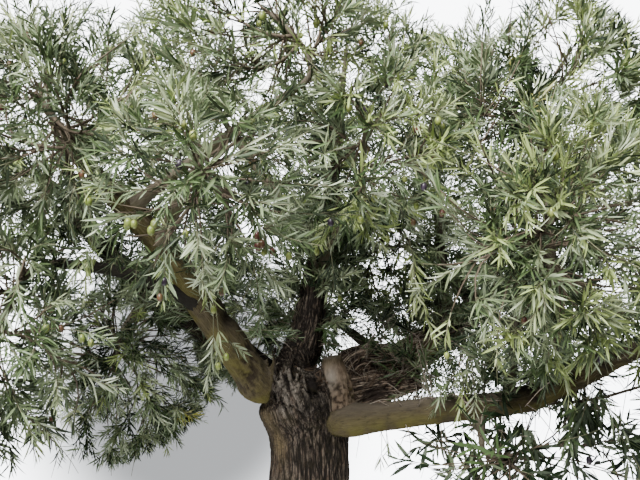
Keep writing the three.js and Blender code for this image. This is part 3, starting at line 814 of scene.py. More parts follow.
plates = long_noise(grain, 0.013, 0.19)
cracks = long_noise(grain, 0.03, 0.03, 2, 7.0)
lumps = long_noise(grain, 0.09, 0.16, 2, 3.0)
streaks = long_noise(grain, 0.01, 0.12, 2, 11.0)
torn_way = unit(np.array(TORN_WAY))
torn_side = unit(np.cross(torn_way, (0.0, 1.0, 0.0)))
torn_grain = skin_points @ np.stack([torn_side, np.cross(torn_way, torn_side), torn_way], 1)
splinters = long_noise(torn_grain, 0.013, 0.085, 2, 9.0)
pits = np.clip(-2.8 * long_noise(grain, 0.013, 0.018, 3, 5.0), 0, 0.85) * pitted
flecks = np.clip(-5.0 * long_noise(grain, 0.011, 0.03, 2, 2.0) + 0.35, 0, 1) * strip
furrow = 1 - np.clip(np.abs(plates) / 0.2, 0, 1)
furrow = np.maximum(furrow, 0.4 * (1 - np.clip(np.abs(cracks) / 0.12, 0, 1)))
furrow = furrow * (1 - 0.7 * worn)
# Painted shade in the gaps between the splinters
shade_between_splinters = splintered * np.clip(-2.6 * splinters - 0.35, 0, 1)
print("splintered points:", int((splintered > 0.5).sum()), "worn points:", int((worn > 0.5).sum()))

# %% Cut the relief into the skin
height = rough * (0.35 * plates * FURROW_DEPTH - FURROW_DEPTH * furrow**2)
height += LUMP_HEIGHT * lumps * (0.35 + 0.65 * rough) + STREAK_HEIGHT * streaks * (1 - rough)
height += splintered * (SPLINTER_HEIGHT * splinters + SPLINTER_SWELL)
height -= PIT_DEPTH * pits + FLECK_DEPTH * flecks + HOLLOW_DEPTH * hollow
height += knots * (KNOT_HEIGHT + KNOT_ROUGHNESS * cracks)
bark_points = skin_points + skin_normals(skin_points, skin_quads) * height[:, None]

bark = new_piece("bark", bark_points, [skin_quads])
add_values(
    bark,
    grain=grain,
    rough=rough,
    # Painted shade in the furrows, pits, hollows and gaps between splinters, with the dark flecks and knots
    furrow=np.clip(furrow * rough + pits + flecks + hollow + 0.8 * knots + shade_between_splinters, 0, 1),
    pale=on_stub * np.clip((0.95 - limb_share) * 6, 0, 1),
    scar=scar,
    # Torn wood is paler, most of all on the splinters' raised tops, as painted highlight
    torn=np.clip(splintered * (0.75 + 3.0 * splinters), 0, 1),
    # How much each limb is lifted or darkened, with painted light on the bark behind the fork
    tone=np.array([TONE_AND_PAINTED_LIGHT_OF.get(name, 1.0) for name in limb_names])[limb_number],
    worn=worn,
)
print("relief from", round(height.min() / MM, 1), "to", round(height.max() / MM, 1), "mm")

# %% [markdown]
# ## Shared effects
#
# Four effects come back in many finishes here. Mottling is the patchy change between two colours
# that clay, bark and soil all show. Grain is the long fine streak that runs along a limb. Fissures
# are the cracks between bark plates, which are long where the wood has grown fast. Growth is the
# green film that settles on the shaded underside of wood and low on a pot.

# %% Mottling
mottling, given, out = new_group(
    "Mottling",
    {
        "Place": ("vector", None),
        "Scale": ("value", 10.0),
        "Contrast": ("value", 0.3),
        "First": ("colour", (0.5, 0.5, 0.5, 1)),
        "Second": ("colour", (0.2, 0.2, 0.2, 1)),
    },
    {"Color": "colour", "Mask": "value"},
)
cloudy = cloud(mottling, given["Place"], given["Scale"], 5.0, 0.62)
spread = maths(mottling, "DIVIDE", minus(mottling, cloudy, 0.5), given["Contrast"])
patches = maths(mottling, "ADD", spread, 0.5, clamp=True)
give(mottling, out, Color=mix(mottling, patches, given["First"], given["Second"]), Mask=patches)


def mottled_material(name, finish, scale, contrast, colours, strength=0.0, distance=0.001):
    """A plain finish in two mottled colours. With a strength, its bumps follow the patches."""
    material, tree, shader = new_material(name, *finish)
    first, second = colours
    patches = place_group(
        tree, mottling, Place=own_place(tree), Scale=scale, Contrast=contrast, First=first, Second=second
    )
    wire(tree, shader, patches["Color"], patches["Mask"] if strength else None, strength, distance)
    return material

# %% Grain and fissures, which share how they stretch a pattern along the grain
def along_grain(tree, given):
    """The place in the grain, scaled so that a pattern comes out Width wide and Length long."""
    width = maths(tree, "DIVIDE", 1.0, given["Width"])
    length = maths(tree, "DIVIDE", 1.0, given["Length"])
    scale = add(tree, "ShaderNodeCombineXYZ", X=width, Y=width, Z=length).outputs[0]
    return vectors(tree, "MULTIPLY", given["Grain"], scale)


def crack_lines(tree, place, detail):
    """How far each point lies from the long winding lines where the noise is one half."""
    return maths(tree, "ABSOLUTE", minus(tree, cloud(tree, place, 1.0, detail), 0.5))


grain_group, given, out = new_group(
    "Grain",
    {"Grain": ("vector", None), "Width": ("value", 0.004), "Length": ("value", 0.04)},
    {"Streaks": "value", "Height": "value"},
)
fibres = cloud(grain_group, along_grain(grain_group, given), 1.0, 4.0, 0.6)
give(grain_group, out, Streaks=stretch(grain_group, fibres, 0.32, 0.68), Height=fibres)

fissures, given, out = new_group(
    "Fissures",
    {"Grain": ("vector", None), "Width": ("value", 0.012), "Length": ("value", 0.08)},
    {"Crack": "value", "Height": "value"},
)
coarse_place = along_grain(fissures, given)
fine_place = vectors(fissures, "MULTIPLY", coarse_place, (2.1, 2.1, 2.6))
fine_place = vectors(fissures, "ADD", fine_place, (5.0, 5.0, 5.0))
coarse = crack_lines(fissures, coarse_place, 3.0)
fine = crack_lines(fissures, fine_place, 2.0)
deep = minus(fissures, 1.0, stretch(fissures, coarse, 0.026, 0.118))
shallow = times(fissures, minus(fissures, 1.0, stretch(fissures, fine, 0.0, 0.075)), 0.75)
plates_of_both = plus(fissures, stretch(fissures, coarse, 0.0, 0.14), stretch(fissures, fine, 0.0, 0.12))
crack = maths(fissures, "MAXIMUM", deep, shallow)
give(fissures, out, Crack=crack, Height=times(fissures, plates_of_both, 0.5))

# %% Growth
growth, given, out = new_group(
    "Growth",
    {
        "Base": ("colour", (0.5, 0.5, 0.5, 1)),
        "Film": ("colour", (0.1, 0.12, 0.04, 1)),
        "Facing": ("value", -1.0),
        "Amount": ("value", 0.5),
        "Scale": ("value", 14.0),
    },
    {"Color": "colour", "Mask": "value"},
)
surface = add(growth, "ShaderNodeNewGeometry").outputs
upward = add(growth, "ShaderNodeSeparateXYZ", Vector=surface["Normal"]).outputs["Z"]
facing = stretch(growth, times(growth, upward, given["Facing"]), -0.35, 0.75)
patchy = stretch(growth, cloud(growth, surface["Position"], given["Scale"], 4.0), 0.35, 0.62)
settled = maths(growth, "MULTIPLY", times(growth, facing, patchy), given["Amount"], clamp=True)
give(growth, out, Color=mix(growth, settled, given["Base"], given["Film"]), Mask=settled)
print("node groups:", [group.name for group in bpy.data.node_groups])

# %% [markdown]
# ## Bark finish
#
# The trunk's plates are grey-brown with rust-red patches and pale streaks, which follow the raised
# grain and so are partly painted highlight. The furrows, cracks, pits and hollows get an almost black
# painted shade. The smooth boughs are ochre and olive, with fine streaks along them and a yellow-green
# film below. Torn and worn wood is paler, and so is the old cut stub; torn wood is palest on the
# splinters' tops, as painted highlight. One material holds them all, mixed by the values that the skin
# stores at each point.

# %% Bark colours
PLATES = {"First": (0.118, 0.088, 0.062), "Second": (0.105, 0.056, 0.034)}
# Pale streaks on the plates; they follow the raised grain of the bumps, so they are partly painted
# highlight on the ridges
PLATE_STREAKS_AND_HIGHLIGHTS = (0.285, 0.232, 0.176)
WORN_WOOD = (0.25, 0.185, 0.092)
TORN_WOOD_AND_HIGHLIGHT = (0.43, 0.37, 0.3)
CRUMBLED = (0.036, 0.024, 0.016)
# Painted shade, almost black, for the cracks and furrows of old bark
CRACK_PAINTED_SHADE = (0.005, 0.003, 0.002)
OLD_FURROW_PAINTED_SHADE = (0.012, 0.008, 0.006)

YOUNG_BARK = {"First": (0.156, 0.125, 0.048), "Second": (0.062, 0.049, 0.023)}
DARK_STREAKS = (0.05, 0.038, 0.026)
PALE_STREAKS = (0.19, 0.155, 0.085)
SPECKS = (0.03, 0.021, 0.013)
WEATHERED_TOP = (0.135, 0.112, 0.088)
# Painted shade for the young bark's furrows, pits and hollows; the peeled flecks and the knots take it too
YOUNG_FURROW_PAINTED_SHADE = (0.024, 0.015, 0.01)
FILM = (0.15, 0.134, 0.028)

CUT_WOOD = {"First": (0.37, 0.28, 0.19), "Second": (0.16, 0.102, 0.06)}
SCAR_WOOD = (0.45, 0.395, 0.32)

# %% Old bark: plates, streaks with painted highlight, worn and torn wood, and painted shade in cracks and furrows
bark_material, tree, shader = new_material("olive bark", 0.88, 0.3)
own_grain = stored(tree, "grain", "Vector")
own = {name: stored(tree, name) for name in ("rough", "furrow", "pale", "scar", "torn", "tone", "worn")}
wide_grain = place_group(tree, grain_group, Grain=own_grain, Width=0.0075, Length=0.05)
fine_grain = place_group(tree, grain_group, Grain=own_grain, Width=0.0032, Length=0.05)
cracked = place_group(tree, fissures, Grain=own_grain, Width=0.01, Length=0.11)
old = place_group(tree, mottling, Place=own_grain, Scale=11.0, Contrast=0.35, **PLATES)["Color"]
# Pale streaks where the grain's bumps rise, partly painted highlight
old = mix(tree, times(tree, wide_grain["Streaks"], 0.8), old, PLATE_STREAKS_AND_HIGHLIGHTS)
old = mix(tree, own["worn"], old, WORN_WOOD)
# Paler torn wood, palest on the splinters' tops as painted highlight
old = mix(tree, own["torn"], old, TORN_WOOD_AND_HIGHLIGHT)
crumbling = stretch(tree, cloud(tree, own_grain, 150.0), 0.5, 0.68)
old = mix(tree, times(tree, crumbling, 0.55), old, CRUMBLED)
spared = times(tree, maths(tree, "MAXIMUM", own["worn"], own["torn"]), 0.5)
# Painted shade, almost black, in the cracks (spared on worn and torn wood) and in the furrows
crack_painted_shade_share = times(tree, cracked["Crack"], minus(tree, 0.96, spared))
old = mix(tree, crack_painted_shade_share, old, CRACK_PAINTED_SHADE)
old = mix(tree, own["furrow"], old, OLD_FURROW_PAINTED_SHADE)

# %% Young bark: streaks, specks and weathering, and the pale cut wood of the stub
young = place_group(tree, mottling, Place=own_grain, Scale=9.0, Contrast=0.4, **YOUNG_BARK)["Color"]
young = mix(tree, times(tree, fine_grain["Streaks"], 0.6), young, DARK_STREAKS)
young = mix(tree, times(tree, wide_grain["Streaks"], 0.35), young, PALE_STREAKS)
specks = place_group(tree, grain_group, Grain=own_grain, Width=0.006, Length=0.022)["Height"]
young = mix(tree, times(tree, stretch(tree, specks, 0.53, 0.66), 0.65), young, SPECKS)
normal = add(tree, "ShaderNodeNewGeometry").outputs["Normal"]
upward = add(tree, "ShaderNodeSeparateXYZ", Vector=normal).outputs["Z"]
young = mix(tree, times(tree, stretch(tree, upward, 0.1, 0.95), 0.6), young, WEATHERED_TOP)
cut = place_group(tree, mottling, Place=own_grain, Scale=26.0, Contrast=0.3, **CUT_WOOD)["Color"]
cut = mix(tree, own["scar"], cut, SCAR_WOOD)
young = mix(tree, own["pale"], young, cut)
# Painted shade in the furrows, pits and hollows of the young bark and of the stub
young = mix(tree, own["furrow"], young, YOUNG_FURROW_PAINTED_SHADE)

# %% Both barks in one, with the film below and the fine bumps
# Both barks are scaled by the stored value that lifts the bark behind the fork as painted light
blended = scaled(tree, mix(tree, own["rough"], young, old), own["tone"])
film_amount = minus(tree, 0.85, times(tree, own["rough"], 0.7))
filmed = place_group(tree, growth, Base=blended, Film=FILM, Facing=-1.0, Amount=film_amount)
crumbs = times(tree, cloud(tree, own_grain, 190.0, 3.0, 0.6), times(tree, own["rough"], 1.1))
relief = plus(tree, wide_grain["Height"], times(tree, fine_grain["Height"], 0.5))
relief = plus(tree, relief, crumbs)
relief = plus(tree, relief, times(tree, times(tree, cracked["Height"], own["rough"]), 0.9))
wire(tree, shader, filmed["Color"], relief, 1.0, 0.005)
dress(bark, bark_material, "trunk_bark", *limb_names)

# %% [markdown]
# ## Branches
#
# Thinner branches leave the boughs and carry the masses of foliage, and each mass has a stem that
# goes on from its branch. They are swept as tubes with a little wobble, and swell where they leave
# the bough, as a real branch collar does.

# %% The plain model's sizes for branches and masses, in millimetres
BRANCHES = {
    "left_low": ("bough_left", 0.45, (-730, -420, 1480), (25, 13), 70),
    "front": ("bough_left", 0.74, (-300, -560, 1730), (22, 12), 40),
    "top_front": ("bough_left", 0.92, (-20, -450, 1985), (19, 10), 20),
    "far_left_low": ("bough_rear_left", 0.5, (-690, 115, 1225), (22, 12), 30),
    "rear_left": ("bough_rear_left", 0.56, (-720, 600, 1540), (25, 13), 30),
    "left_top": ("bough_rear_left", 0.83, (-930, 50, 1960), (20, 11), -40),
    "rear": ("leader", 0.36, (20, 600, 1640), (28, 14), 30),
    "top_left": ("leader", 0.6, (-320, 130, 1990), (26, 12), -30),
    "inner_right": ("leader", 0.46, (250, 330, 1620), (22, 12), 20),
    "centre_front": ("leader", 0.5, (130, -90, 1660), (20, 11), 10),
    "right_front": ("bough_right", 0.5, (600, -430, 1430), (15, 10), -20),
    "right_top": ("bough_right", 0.66, (760, -170, 1810), (22, 12), -30),
    "right_under": ("bough_right", 0.42, (560, -190, 885), (14, 10), 0),
    "rear_right_top": ("bough_rear_right", 0.5, (500, 290, 1900), (28, 13), -20),
    "rear_right": ("bough_rear_right", 0.66, (560, 650, 1430), (24, 13), 25),
    "rear_low": ("bough_rear_right", 0.25, (40, 500, 1230), (22, 12), 30),
}

# A mass of foliage: the limb it grows from, the centre and half-sizes of its space, and its lift,
# which is above 0 where its twigs rise and below 0 where they hang.
MASSES = {
    "left_front": ("bough_left", (-710, -450, 1890), (350, 350, 360), 0.5),
    "left_hanging": ("branch_left_low", (-830, -480, 1290), (350, 330, 400), -0.5),
    "front": ("branch_front", (-230, -620, 1680), (360, 320, 330), 0),
    "top_front": ("branch_top_front", (-90, -390, 2170), (380, 350, 320), 0.6),
    "centre_front": ("branch_centre_front", (160, -340, 1840), (340, 310, 340), 0.2),
    "far_left": ("bough_rear_left", (-1090, 270, 1810), (330, 380, 370), 0.3),
    "far_left_hanging": ("branch_far_left_low", (-730, 130, 1110), (450, 370, 400), -0.6),
    "rear_left": ("branch_rear_left", (-720, 750, 1560), (400, 350, 450), 0),
    "left_top": ("branch_left_top", (-920, -20, 2120), (340, 370, 310), 0.7),
    "rear": ("branch_rear", (-10, 740, 1890), (430, 370, 430), 0.2),
    "top_left": ("branch_top_left", (-450, 170, 2180), (370, 380, 330), 0.7),
    "inner_right": ("branch_inner_right", (350, 430, 1600), (340, 310, 430), 0),
    "top": ("leader", (130, 190, 2220), (390, 380, 340), 0.8),
    "right_end": ("bough_right", (1150, -410, 1420), (350, 370, 460), 0.1),
    "right_front": ("branch_right_front", (640, -540, 1570), (400, 340, 400), 0.1),
    "right_top": ("branch_right_top", (710, -150, 2010), (410, 370, 370), 0.7),
    "right_hanging": ("branch_right_under", (640, -220, 860), (460, 300, 230), -0.4),
    "rear_right_end": ("bough_rear_right", (1030, 430, 1560), (380, 420, 470), 0),
    "rear_right_top": ("branch_rear_right_top", (560, 370, 2140), (370, 380, 340), 0.6),
    "rear_right": ("branch_rear_right", (520, 830, 1430), (390, 330, 420), -0.2),
    "rear_hanging": ("branch_rear_low", (-170, 650, 1150), (420, 310, 340), -0.5),
}

# %% Branch and stem paths
BRANCH_POINTS = 33
STEM_TIP_RADIUS = 8 * MM
UP = np.array([0.0, 0.0, 1.0])

for name, (parent, share, end, radii, arch) in BRANCHES.items():
    start = point_at(limbs[parent]["path"], share)
    end = np.array(end) * MM
    middle = (start + end) / 2 + UP * arch * MM
    path = evenly_spaced(bezier(start, middle, end, np.linspace(0, 1, 200)), BRANCH_POINTS)
    limbs[f"branch_{name}"] = {"path": path, "radius": np.linspace(*radii, BRANCH_POINTS) * MM}


masses = {}
for name, (limb_name, centre, size, lift) in MASSES.items():
    limb = limbs[limb_name]
    root = limb["path"][-1]
    heading = unit(root - limb["path"][-2])
    heart = np.array(centre) * MM
    reach = np.linalg.norm(heart - root)
    masses[name] = {
        "centre": heart,
        "size": np.array(size) * MM,
        "lift": lift,
        "stem": (root, root + heading * reach * 0.5, heart + unit(heart - root) * reach * 0.25),
        "radius": limb["radius"][-1] * 0.96,
    }
mass_names = list(masses)
mass_centres = np.array([mass["centre"] for mass in masses.values()])
mass_sizes = np.array([mass["size"] for mass in masses.values()])
print(len(BRANCHES), "branches and", len(masses), "masses")

# %% Sweep the branches and stems
BRANCH_SIDES = 12
STEM_POINTS = 15
COLLAR_SWELL = 0.55
COLLAR_LENGTH = 0.035

# Branches with old scaly bark are darker than the rest, and the one on the left is much darker still, as
# painted shade
BRANCH_TONE_AND_SHADE = {
    "left_low": 0.14, "inner_right": 0.45, "rear_low": 0.5, "right_front": 0.6, "rear_right_top": 0.6,
}
STEM_TONE = 0.8


def lumpy_tube(path, radius, amount):
    """A branch's or a stem's closed tube, with lumps that run along it."""
    paths, radii = path[None], radius[None]
    _, _, plain = sweep(paths, radii, BRANCH_SIDES)
    lumps = long_noise(plain + path[0], 0.02, 0.06, 2)[:-2].reshape(1, len(path), BRANCH_SIDES)
    return sweep(paths, radii[..., None] * (1 + amount * lumps), BRANCH_SIDES)


branch_parts, branch_tones = [], []
for name, (parent, share, *_) in BRANCHES.items():
    limb = limbs[f"branch_{name}"]
    length = np.linalg.norm(limb["path"][1] - limb["path"][0]) * np.arange(BRANCH_POINTS)
    parent_radius = np.interp(share, np.linspace(0, 1, PATH_POINTS), limbs[parent]["radius"])
    collar = 1 + COLLAR_SWELL * np.exp(-np.maximum(length - parent_radius, 0) / COLLAR_LENGTH)
    branch_parts.append(lumpy_tube(limb["path"], limb["radius"] * collar, 0.2))
    branch_tones.append(BRANCH_TONE_AND_SHADE.get(name, 1.0))
for mass in masses.values():
    shares = np.linspace(-0.04, 1, STEM_POINTS)
    radius = mass["radius"] + (STEM_TIP_RADIUS - mass["radius"]) * np.clip(shares, 0, 1) ** 0.8
    branch_parts.append(lumpy_tube(bezier(*mass["stem"], shares), radius, 0.16))
    branch_tones.append(STEM_TONE)
branch_points, branch_faces, branch_grain = joined(branch_parts)
branches = new_piece("branches", branch_points, branch_faces)
tone = np.repeat(branch_tones, [len(points) for points, _, _ in branch_parts])
add_values(branches, grain=branch_grain, tone=tone)

# %% The branches' bark, which has no relief of its own
BRANCH_BARK = {"First": (0.15, 0.125, 0.085), "Second": (0.075, 0.055, 0.038)}
BRANCH_STREAKS = (0.21, 0.19, 0.14)
BRANCH_FILM = (0.12, 0.12, 0.04)

branch_material, tree, shader = new_material("branch bark", 0.85, 0.3)
streaks = place_group(tree, grain_group, Grain=stored(tree, "grain", "Vector"), Width=0.005, Length=0.03)
place = own_place(tree)
colour = place_group(tree, mottling, Place=place, Scale=16.0, Contrast=0.35, **BRANCH_BARK)["Color"]
colour = mix(tree, times(tree, streaks["Streaks"], 0.5), colour, BRANCH_STREAKS)
filmed = place_group(tree, growth, Base=colour, Film=BRANCH_FILM, Facing=-1.0, Amount=0.4)["Color"]
# The stored value darkens the left branch as painted shade
wire(tree, shader, scaled(tree, filmed, stored(tree, "tone")), streaks["Height"], 0.8, 0.003)
dress(branches, branch_material, "smooth_bark", *(f"branch_{name}" for name in BRANCHES))

# %% [markdown]
# ## How the crown grows
#
# The plain model grows each mass by a rule: a stem, five main twigs that head for goals spread over
# the mass's surface, and leaves that each stand for a whole spray. Here the same rule is written
# again and carried further. Finer twigs leave the main ones for more goals, and leafy shoots leave
# those. A twig must keep clear of the wood and within its own mass's space, so the sky still shows
# between the masses.

# %% The rule for goals and spaces
GOLDEN_ANGLE = math.pi * (3 - math.sqrt(5))
TWIGS_PER_MASS = 5
SPRAY_LENGTH = 212 * MM
TWIG_BEND = 0.16
TWIG_LEAST = 110 * MM
TWIG_SHORTENING = (1, 0.8, 0.6, 0.45)
TWIG_CLEARANCE = 19 * MM
SPACE_MARGIN = 0.02
WOOD_SAMPLES = 41
FIRST_SEED = 11
SEED_STEP = 7


def seeded(seed):
    """The source's repeatable row of numbers from 0 up to 1."""
    while True:
        seed = (seed * 1664525 + 1013904223) % 4294967296
        yield seed / 4294967296


def depth_in(mass, points):
    """How far out points lie in a mass's space: 0 at its centre and 1 at its surface."""
    return np.linalg.norm((points - mass["centre"]) / mass["size"], axis=-1)


def in_own_space(mass, points):
    """Whether points are inside a mass's surface and deeper in it than in any other mass."""
    depth = depth_in(mass, points)
    inside = depth <= 1
    for other in masses.values():
        if other is not mass:
            inside &= depth_in(other, points) > depth + SPACE_MARGIN
    return inside


wood_points = np.vstack([evenly_spaced(limb["path"], WOOD_SAMPLES) for limb in limbs.values()])
wood_radii = np.concatenate([
    np.interp(np.linspace(0, 1, WOOD_SAMPLES), np.linspace(0, 1, len(limb["radius"])), limb["radius"])
    for limb in limbs.values()
])


def clear_of_wood(points, room):
    """Whether points lie further than room from every limb's surface."""
    clear = np.ones(len(points), bool)
    for start in range(0, len(points), POINTS_AT_A_TIME):
        block = points[start:start + POINTS_AT_A_TIME]
        distance = np.linalg.norm(block[:, None] - wood_points[None], axis=2) - wood_radii
        clear[start:start + POINTS_AT_A_TIME] = distance.min(1) > room
    return clear


def main_twigs(mass, seed):
    """The source's five twigs, each a curve and the length of the spray at its end."""
    draw = seeded(seed).__next__
    twigs = []
    for k in range(TWIGS_PER_MASS):
        start = bezier(*mass["stem"], [0.45 + 0.5 * ((k * 0.618) % 1)])[0]
        height = 1 - (2 * k + 1) / TWIGS_PER_MASS
        angle = k * GOLDEN_ANGLE + seed
        ring = math.sqrt(1 - height**2)
        outward = np.array([ring * math.cos(angle), ring * math.sin(angle), height])
        goal = mass["centre"] + mass["size"] * outward * (0.97 + 0.03 * draw())
        spray = SPRAY_LENGTH * (0.85 + 0.25 * draw())
        whole = np.linalg.norm(goal - start)
        for part in TWIG_SHORTENING:
            end = start + unit(goal - start) * max(whole - spray, TWIG_LEAST) * part
            middle = (start + end) / 2 - UP * mass["lift"] * TWIG_BEND * whole
            points = bezier(start, middle, end, np.linspace(0, 1, 9))
            if clear_of_wood(points, TWIG_CLEARANCE).all() and in_own_space(mass, points[3:]).all():
                twigs.append(((start, middle, end), spray))
                # The source draws nine more numbers here, for the leaves of the spray
                for _ in range(9):
                    draw()
                break
    return twigs


seeds = {name: FIRST_SEED + SEED_STEP * index for index, name in enumerate(masses)}
for name, mass in masses.items():
    mass["twigs"] = main_twigs(mass, seeds[name])
print("main twigs:", {name: len(mass["twigs"]) for name, mass in masses.items()})

# %% [markdown]
# Finer growth reuses one step. From all the wood that a mass has so far, it picks the point from
# which a twig would reach the goal soonest while going on roughly the way the wood runs. The twig
# leaves along that wood and bends to its goal: up where the mass lifts, and over and down where it
# hangs. Some masses are fuller than others. A gardener also keeps spaces open in front of the boughs,
# so that light gets to them, and most shoots that would enter those are cut.

# %% How many twigs and shoots, and where pruning keeps them out
SIDE_TWIGS = 300.0
SHOOTS = 2650.0
NEAR_MASSES = ("left_front", "left_hanging", "front", "right_front")
FULLNESS = {
    "left_front": 1.15, "left_hanging": 1.15, "front": 1.15, "top_front": 0.72, "centre_front": 1.08,
    "far_left": 1.1, "far_left_hanging": 1.15, "rear_left": 1.35, "rear": 1.28, "top_left": 0.85,
    "inner_right": 0.66, "top": 0.85, "right_front": 1.35, "right_top": 1.32, "right_hanging": 0.38,
    "rear_right_end": 1.18, "rear_right_top": 1.32, "rear_right": 1.1, "rear_hanging": 1.8,
}
SIDE_TWIG_LONGEST = 0.6
SHOOT_LONGEST = 0.36
SHOOT_LEAST = 0.06
FINE_BEND = 0.26
BOX_MARGIN = 0.02

# Spaces that pruning keeps open in front of the boughs: both ends, radius and share of shoots kept
PRUNED_SPACES = [
    ((-0.624, -0.3, 1.627), (-0.287, -0.3, 1.213), 0.085, 0.12),
    ((-0.561, -0.48, 1.619), (-0.256, -0.48, 1.245), 0.08, 0.12),
    ((-0.513, -0.62, 1.614), (-0.232, -0.62, 1.27), 0.092, 0.05),
    ((-0.45, -0.8, 1.606), (-0.202, -0.8, 1.302), 0.085, 0.05),
    ((-0.56, 0.02, 1.42), (-0.37, -0.02, 1.24), 0.08, 0.15),
    ((-0.82, 0.02, 1.59), (-0.56, -0.02, 1.44), 0.08, 0.25),
    ((-0.74, -0.3, 1.585), (-0.42, -0.3, 1.3), 0.07, 0.2),
    ((-0.66, -0.5, 1.585), (-0.37, -0.5, 1.33), 0.065, 0.2),
    ((0.74, -0.45, 1.19), (0.92, -0.45, 1.245), 0.055, 0.0),
    ((0.7, -0.65, 1.23), (0.85, -0.65, 1.27), 0.05, 0.0),
    ((0.11, -0.06, 1.055), (0.3, -0.06, 1.055), 0.055, 0.0),
    ((0.2, -0.19, 0.955), (0.43, -0.2, 0.978), 0.065, 0.0),
    ((0.22, -0.2, 0.84), (0.38, -0.2, 0.84), 0.1, 0.1),
    ((-0.03, 0.0, 1.16), (0.0, 0.04, 1.3), 0.065, 0.1),
    ((-0.015, -0.25, 1.2), (0.005, -0.25, 1.32), 0.055, 0.15),
    ((0.43, -0.2, 0.978), (0.7, -0.29, 1.04), 0.062, 0.3),
    ((0.7, -0.29, 1.04), (1.11, -0.51, 1.32), 0.065, 0.15),
    ((0.12, -0.2, 1.09), (0.28, -0.2, 1.09), 0.05, 0.0),
]

# %% Grow finer twigs and shoots
def spread_goals(mass, count, inner, outer, turn):
    """Goals spread evenly through a mass's space, between two depths, that are its own."""
    k = np.arange(count)
    height = 1 - (2 * k + 1) / count
    ring = np.sqrt(1 - height**2)
    angle = k * GOLDEN_ANGLE + turn
    reach = inner + (outer - inner) * ((k * 0.618) % 1) ** 0.6
    outward = np.stack([ring * np.cos(angle), ring * np.sin(angle), height], 1)
    goals = mass["centre"] + mass["size"] * outward * reach[:, None]
    return goals[in_own_space(mass, goals)]


def grow_towards(mass, goals, points, headings, rng, longest):
    """Curves from a mass's wood to the goals, as three rows of points."""
    curves = []
    for goal in goals:
        away = goal - points
        distance = np.linalg.norm(away, axis=1)
        along = (away * headings).sum(1) / np.maximum(distance, 1e-6)
        pick = np.argmin(distance * (1.45 - along))
        length = distance[pick]
        if not SHOOT_LEAST < length < longest:
            continue
        lean = unit(0.55 * away[pick] / length + 0.55 * headings[pick] + 0.18 * rng.normal(size=3))
        middle = points[pick] + lean * length * 0.5 - UP * mass["lift"] * FINE_BEND * length
        curve = (points[pick], middle, goal)
        if clear_of_wood(bezier(*curve, np.array([0.3, 0.5, 0.7, 0.85, 1.0])), 0.01).all():
            curves.append(curve)
    return columns(curves)


def pruned(curves, rng):
    """Whether curves enter a space that pruning keeps open, but for a random share of them."""
    points = bezier(*curves, np.array([0.4, 0.6, 0.8, 1.0]))
    cut = np.zeros(len(points), bool)
    for first, last, radius, kept in PRUNED_SPACES:
        first, last = np.array(first), np.array(last)
        along = ((points - first) @ (last - first)) / ((last - first) @ (last - first))
        nearest = first + np.clip(along, 0, 1)[..., None] * (last - first)
        entered = (np.linalg.norm(points - nearest, axis=-1) < radius).any(1)
        cut |= entered & (rng.random(len(points)) >= kept)
    return cut


def samples_on(curves, shares):
    """Points and directions on curves, as flat lists."""
    return bezier(*curves, shares).reshape(-1, 3), bezier_heading(*curves, shares).reshape(-1, 3)


def bent(start, outward, aim, length, reach=0.6):
    """Curves that leave outward and then turn towards their aim."""
    middle = start + outward * length * 0.5
    return start, middle, middle + unit(aim) * length * reach


def in_box(points):
    """Whether points stay in the plain model's box, but for a small margin."""
    low, high = np.array(cad_low) - BOX_MARGIN, np.array(cad_high) + BOX_MARGIN
    return (points > low).all(1) & (points < high).all(1)


grown = []
for name, mass in masses.items():
    rng = np.random.default_rng(seeds[name])
    volume = 4 / 3 * math.pi * mass["size"].prod()
    stem = [np.array([p]) for p in mass["stem"]]
    mains = columns(curve for curve, _ in mass["twigs"])
    wood = [samples_on(stem, np.linspace(0.3, 1, 12)), samples_on(mains, np.linspace(0.15, 1, 10))]
    goals = spread_goals(mass, round(SIDE_TWIGS * volume), 0.5, 0.84, seeds[name] + 1.0)
    sides = grow_towards(mass, goals, *stacked(*wood), rng, SIDE_TWIG_LONGEST)
    wood.append(samples_on(sides, np.linspace(0.2, 1, 7)))
    shoot_count = round(SHOOTS * FULLNESS.get(name, 1.0) * volume)
    goals = spread_goals(mass, shoot_count, 0.3, 0.985, seeds[name] + 2.0)
    shoots = grow_towards(mass, goals, *stacked(*wood), rng, SHOOT_LONGEST)
    spray_lengths = [np.array([spray for _, spray in mass["twigs"]]), rng.uniform(0.1, 0.17, len(sides[0]))]
    for curves, lengths in zip((mains, sides), spray_lengths):
        onward = unit(curves[2] - curves[1])
        aim = onward + 0.25 * rng.normal(size=onward.shape)
        shoots = stacked(shoots, bent(curves[2], onward, aim, lengths[:, None], 0.5))
    grown.append((mains, sides, shoots))
main_set, side_set, shoot_set = (stacked(*sets) for sets in zip(*grown))
shoot_mass = np.repeat(np.arange(len(masses)), [len(shoots[0]) for _, _, shoots in grown])
left = in_box(shoot_set[2]) & ~pruned(shoot_set, np.random.default_rng(17))
shoot_set = [row[left] for row in shoot_set]
shoot_mass = shoot_mass[left]
shoot_near = np.array([name in NEAR_MASSES for name in masses])[shoot_mass]
shoot_bare = np.full(len(shoot_mass), 0.1)
print(len(main_set[0]), "main twigs,", len(side_set[0]), "side twigs,", len(shoot_set[0]), "shoots")

# %% [markdown]
# A few sprays hang or stand in front of the wood, where the rule leaves none because they come down
# from the masses above. They are placed one by one: each is a shoot with its start, a point that it
# is drawn towards, its end, and the share of it that is bare. Two long bare twigs are placed too.

